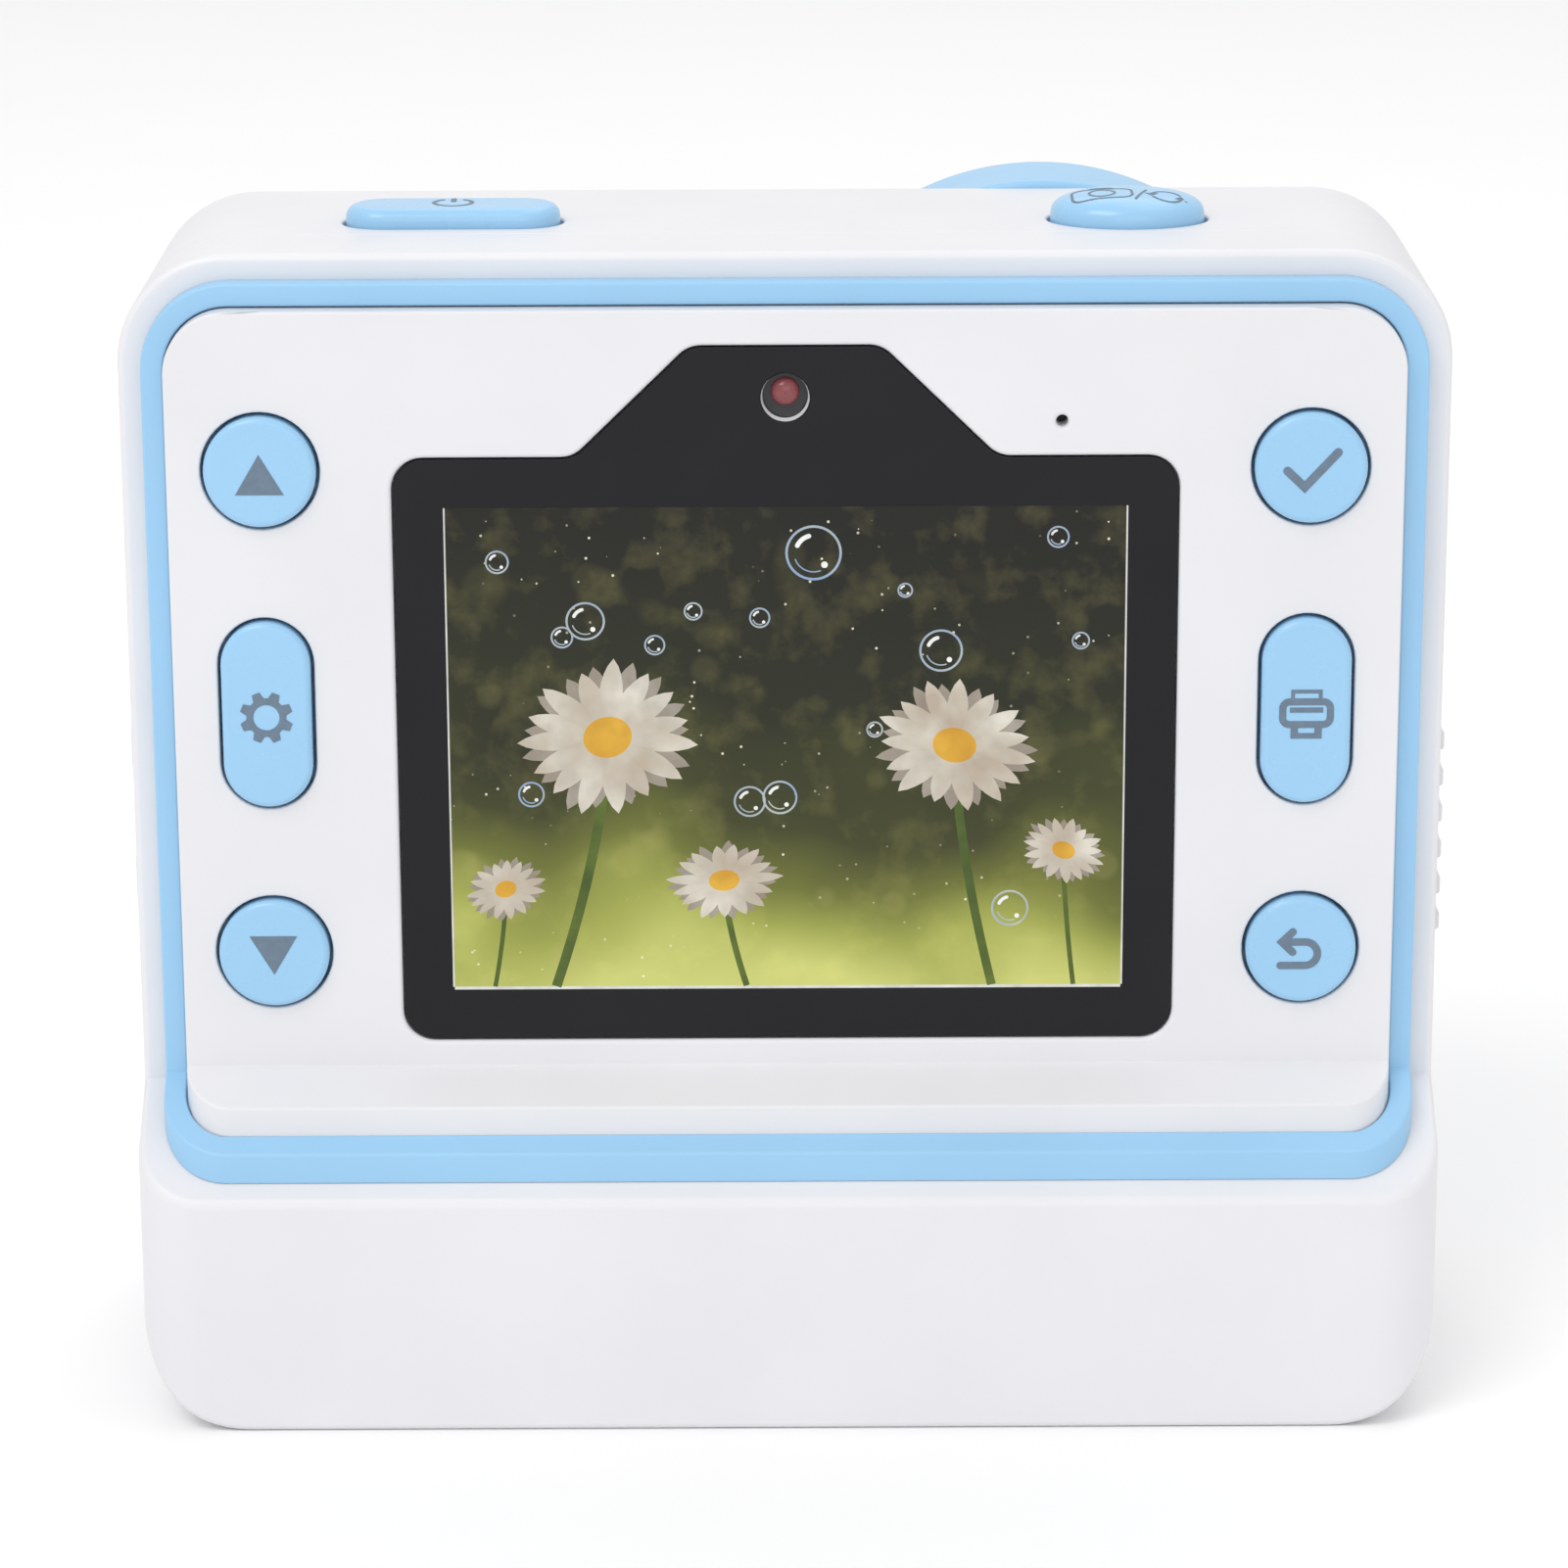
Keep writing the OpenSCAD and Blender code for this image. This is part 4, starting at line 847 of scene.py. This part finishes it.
# Each bubble's place on the picture and its radius
BUBBLES = [
    (2.0, 65.2, 1.95), (-14.5, 60.2, 1.35), (-16.2, 59.0, 0.75), (-9.5, 58.4, 0.7),
    (-6.7, 60.9, 0.62), (19.6, 66.3, 0.75), (-1.9, 60.4, 0.7), (-2.7, 46.6, 1.1),
    (-0.5, 46.9, 1.2),
    (11.2, 57.9, 1.5), (16.3, 38.4, 1.3), (-18.6, 47.2, 0.9), (6.4, 52.0, 0.55), (21.3, 58.6, 0.6),
    (-20.8, 64.6, 0.8), (8.6, 62.4, 0.5),
]
lines, lights = [], []
for bx, bz, br in BUBBLES:
    lines += moved(ribbon(arc(0, 0, br, 0, 350, 35), 0.1 + 0.04 * br, closed=True), bx, bz)
    lines += moved(ribbon(arc(0, 0, br * 0.72, 200, 290, 12), 0.09), bx, bz)
    lights += moved(ribbon(arc(0, 0, br * 0.66, 105, 155, 8), 0.14 * br + 0.06), bx, bz)
    lights += moved([disc(0, 0, 0.1 * br + 0.05, 12)], bx + br * 0.4, bz - br * 0.45)
plate("picture_bubbles", [lines], on_screen(0.03), "casing", bubble_line, 0.01)
plate("picture_glints", [lights], on_screen(0.04), "casing", bubble_light, 0.01)

petal_tone = glowing("petal_tone", (0.72, 0.69, 0.6), 1.0, (0.5, 0.42, 0.33))
petal_shade = glowing("petal_shade", (0.4, 0.36, 0.3), 1.0, (0.3, 0.25, 0.2))
heart_tone = glowing("heart_tone", (0.85, 0.5, 0.06), 1.0, (0.6, 0.3, 0.03))
stem_tone = glowing("stem_tone", (0.13, 0.18, 0.03), 1.0, (0.06, 0.1, 0.02))


def petal(angle, reach, width):
    """Pointed oval from the flower's middle outwards."""
    out = Vector((math.cos(angle), math.sin(angle)))
    side = Vector((-math.sin(angle), math.cos(angle)))
    steps = 9

    def at(t, way):
        """Along the petal's edge on one side, from its foot at t = 0 to its tip at t = 1."""
        return (out * reach * (0.12 + 0.88 * t)
                + side * width * math.sin(math.pi * t) ** 0.7 * way)

    path = []
    for i in range(steps + 1):
        path.append(at(i / steps, 1))
    for i in range(steps - 1, 0, -1):
        path.append(at(i / steps, -1))
    return path


def daisy(name, cx, cz, r, lean, squash, foot):
    """One flower of the picture, of radius r: stem, two rows of petals and a heart. It is turned
    by lean, seen at an angle that squashes it, and its stem stands at foot."""
    rng = random.Random(name)

    def seen(p):
        return Vector((cx + p.x * math.cos(lean) - p.y * squash * math.sin(lean),
                       cz + p.x * math.sin(lean) + p.y * squash * math.cos(lean)))
    stem = []
    for i in range(11):
        t = i / 10
        stem.append(Vector((cx + (foot - cx) * (1 - t) ** 1.6, z0 + (cz - z0) * t)))
    plate(name + "_stem", [ribbon(stem, 0.11 * r, caps=False)], on_screen(0.012), "casing",
          stem_tone, 0.004)
    for row, (tone, count, shift) in enumerate(((petal_shade, 15, 0.5), (petal_tone, 15, 0))):
        shapes = []
        for i in range(count):
            angle = 2 * math.pi * (i + shift) / count + rng.uniform(-0.06, 0.06)
            shapes.append([seen(p) for p in petal(angle, r * rng.uniform(0.9, 1.04), r * 0.13)])
        plate(name + f"_petals_{row}", [shapes], on_screen(0.016 + 0.006 * row), "casing", tone,
              0.004)
    plate(name + "_heart", [[[seen(p) for p in disc(0, 0, r * 0.27)]]], on_screen(0.027), "casing",
          heart_tone, 0.004)


daisy("daisy_left", -13.0, 51.5, 6.6, 0.25, 0.86, -17.0)
daisy("daisy_right", 12.2, 50.8, 5.9, -0.2, 0.82, 15.0)
daisy("daisy_low", -4.6, 40.6, 4.2, 0.1, 0.7, -3.0)
daisy("daisy_far", 20.2, 42.8, 3.2, -0.35, 0.75, 21.0)
daisy("daisy_small", -20.6, 40.0, 3.0, 0.3, 0.78, -21.5)


# ---- stage, light and camera ----

floor_mesh = bpy.data.meshes.new("floor")
FLOOR_HALF = 3
floor_mesh.from_pydata([(-FLOOR_HALF, -FLOOR_HALF, 0), (FLOOR_HALF, -FLOOR_HALF, 0),
                        (FLOOR_HALF, FLOOR_HALF, 0), (-FLOOR_HALF, FLOOR_HALF, 0)],
                       [], [(0, 1, 2, 3)])
floor = bpy.data.objects.new("floor", floor_mesh)
bpy.context.scene.collection.objects.link(floor)
paper = Shader("floor_paper")
paper.put("Base Color", paper.mix((0.93, 0.93, 0.93), (0.95, 0.95, 0.95), paper.noise(60, 3)))
paper.put("Roughness", paper.span(paper.noise(12, 3), 0.75, 0.85))
paper.put("Specular IOR Level", 0.1)
paper.put("Normal", paper.bump(paper.noise(1.5, 3), 0.01, 0.3))
floor_mesh.materials.append(paper.mat)

world = bpy.data.worlds.new("studio")
bpy.context.scene.world = world
world.use_nodes = True
sky = world.node_tree.nodes["Background"]
sky.inputs["Color"].default_value = (1, 1, 1, 1)
sky.inputs["Strength"].default_value = 0.85


def softbox(name, place, target, size, power):
    """A rectangular studio lamp that looks at target. Places and sizes in metres."""
    lamp = bpy.data.lights.new(name, "AREA")
    lamp.shape = "RECTANGLE"
    lamp.size, lamp.size_y = size
    lamp.energy = power
    box = bpy.data.objects.new(name, lamp)
    bpy.context.scene.collection.objects.link(box)
    box.location = place
    box.rotation_euler = (Vector(target) - Vector(place)).to_track_quat("-Z", "Y").to_euler()


softbox("key_light", (-0.35, -0.45, 0.75), (0, 0, 0.05), (0.5, 0.4), 2.2)
softbox("top_light", (0.25, 0.15, 0.8), (0, 0, 0.05), (0.6, 0.4), 0.6)
softbox("back_light", (0.05, 0.6, 0.7), (0, 0, 0.05), (0.6, 0.4), 0.55)
softbox("front_light", (0.1, -0.85, 0.32), (0, 0, 0.06), (0.7, 0.4), 0.7)

# The photograph's camera: where it stands, how far up it looks from straight down, and its turn
CAMERA_PLACE = Vector((-0.2, -397.4, 157.0)) * MM
CAMERA_TILT = math.radians(74)
CAMERA_TURN = math.radians(-0.25)
lens = bpy.data.cameras.new("camera")
lens.lens = 124.8
lens.sensor_width = 36
camera = bpy.data.objects.new("camera", lens)
bpy.context.scene.collection.objects.link(camera)
camera.location = CAMERA_PLACE
camera.rotation_euler = (Matrix.Rotation(CAMERA_TILT, 3, "X")
                         @ Matrix.Rotation(CAMERA_TURN, 3, "Z")).to_euler()
bpy.context.scene.camera = camera
bpy.context.scene.view_settings.view_transform = "Standard"
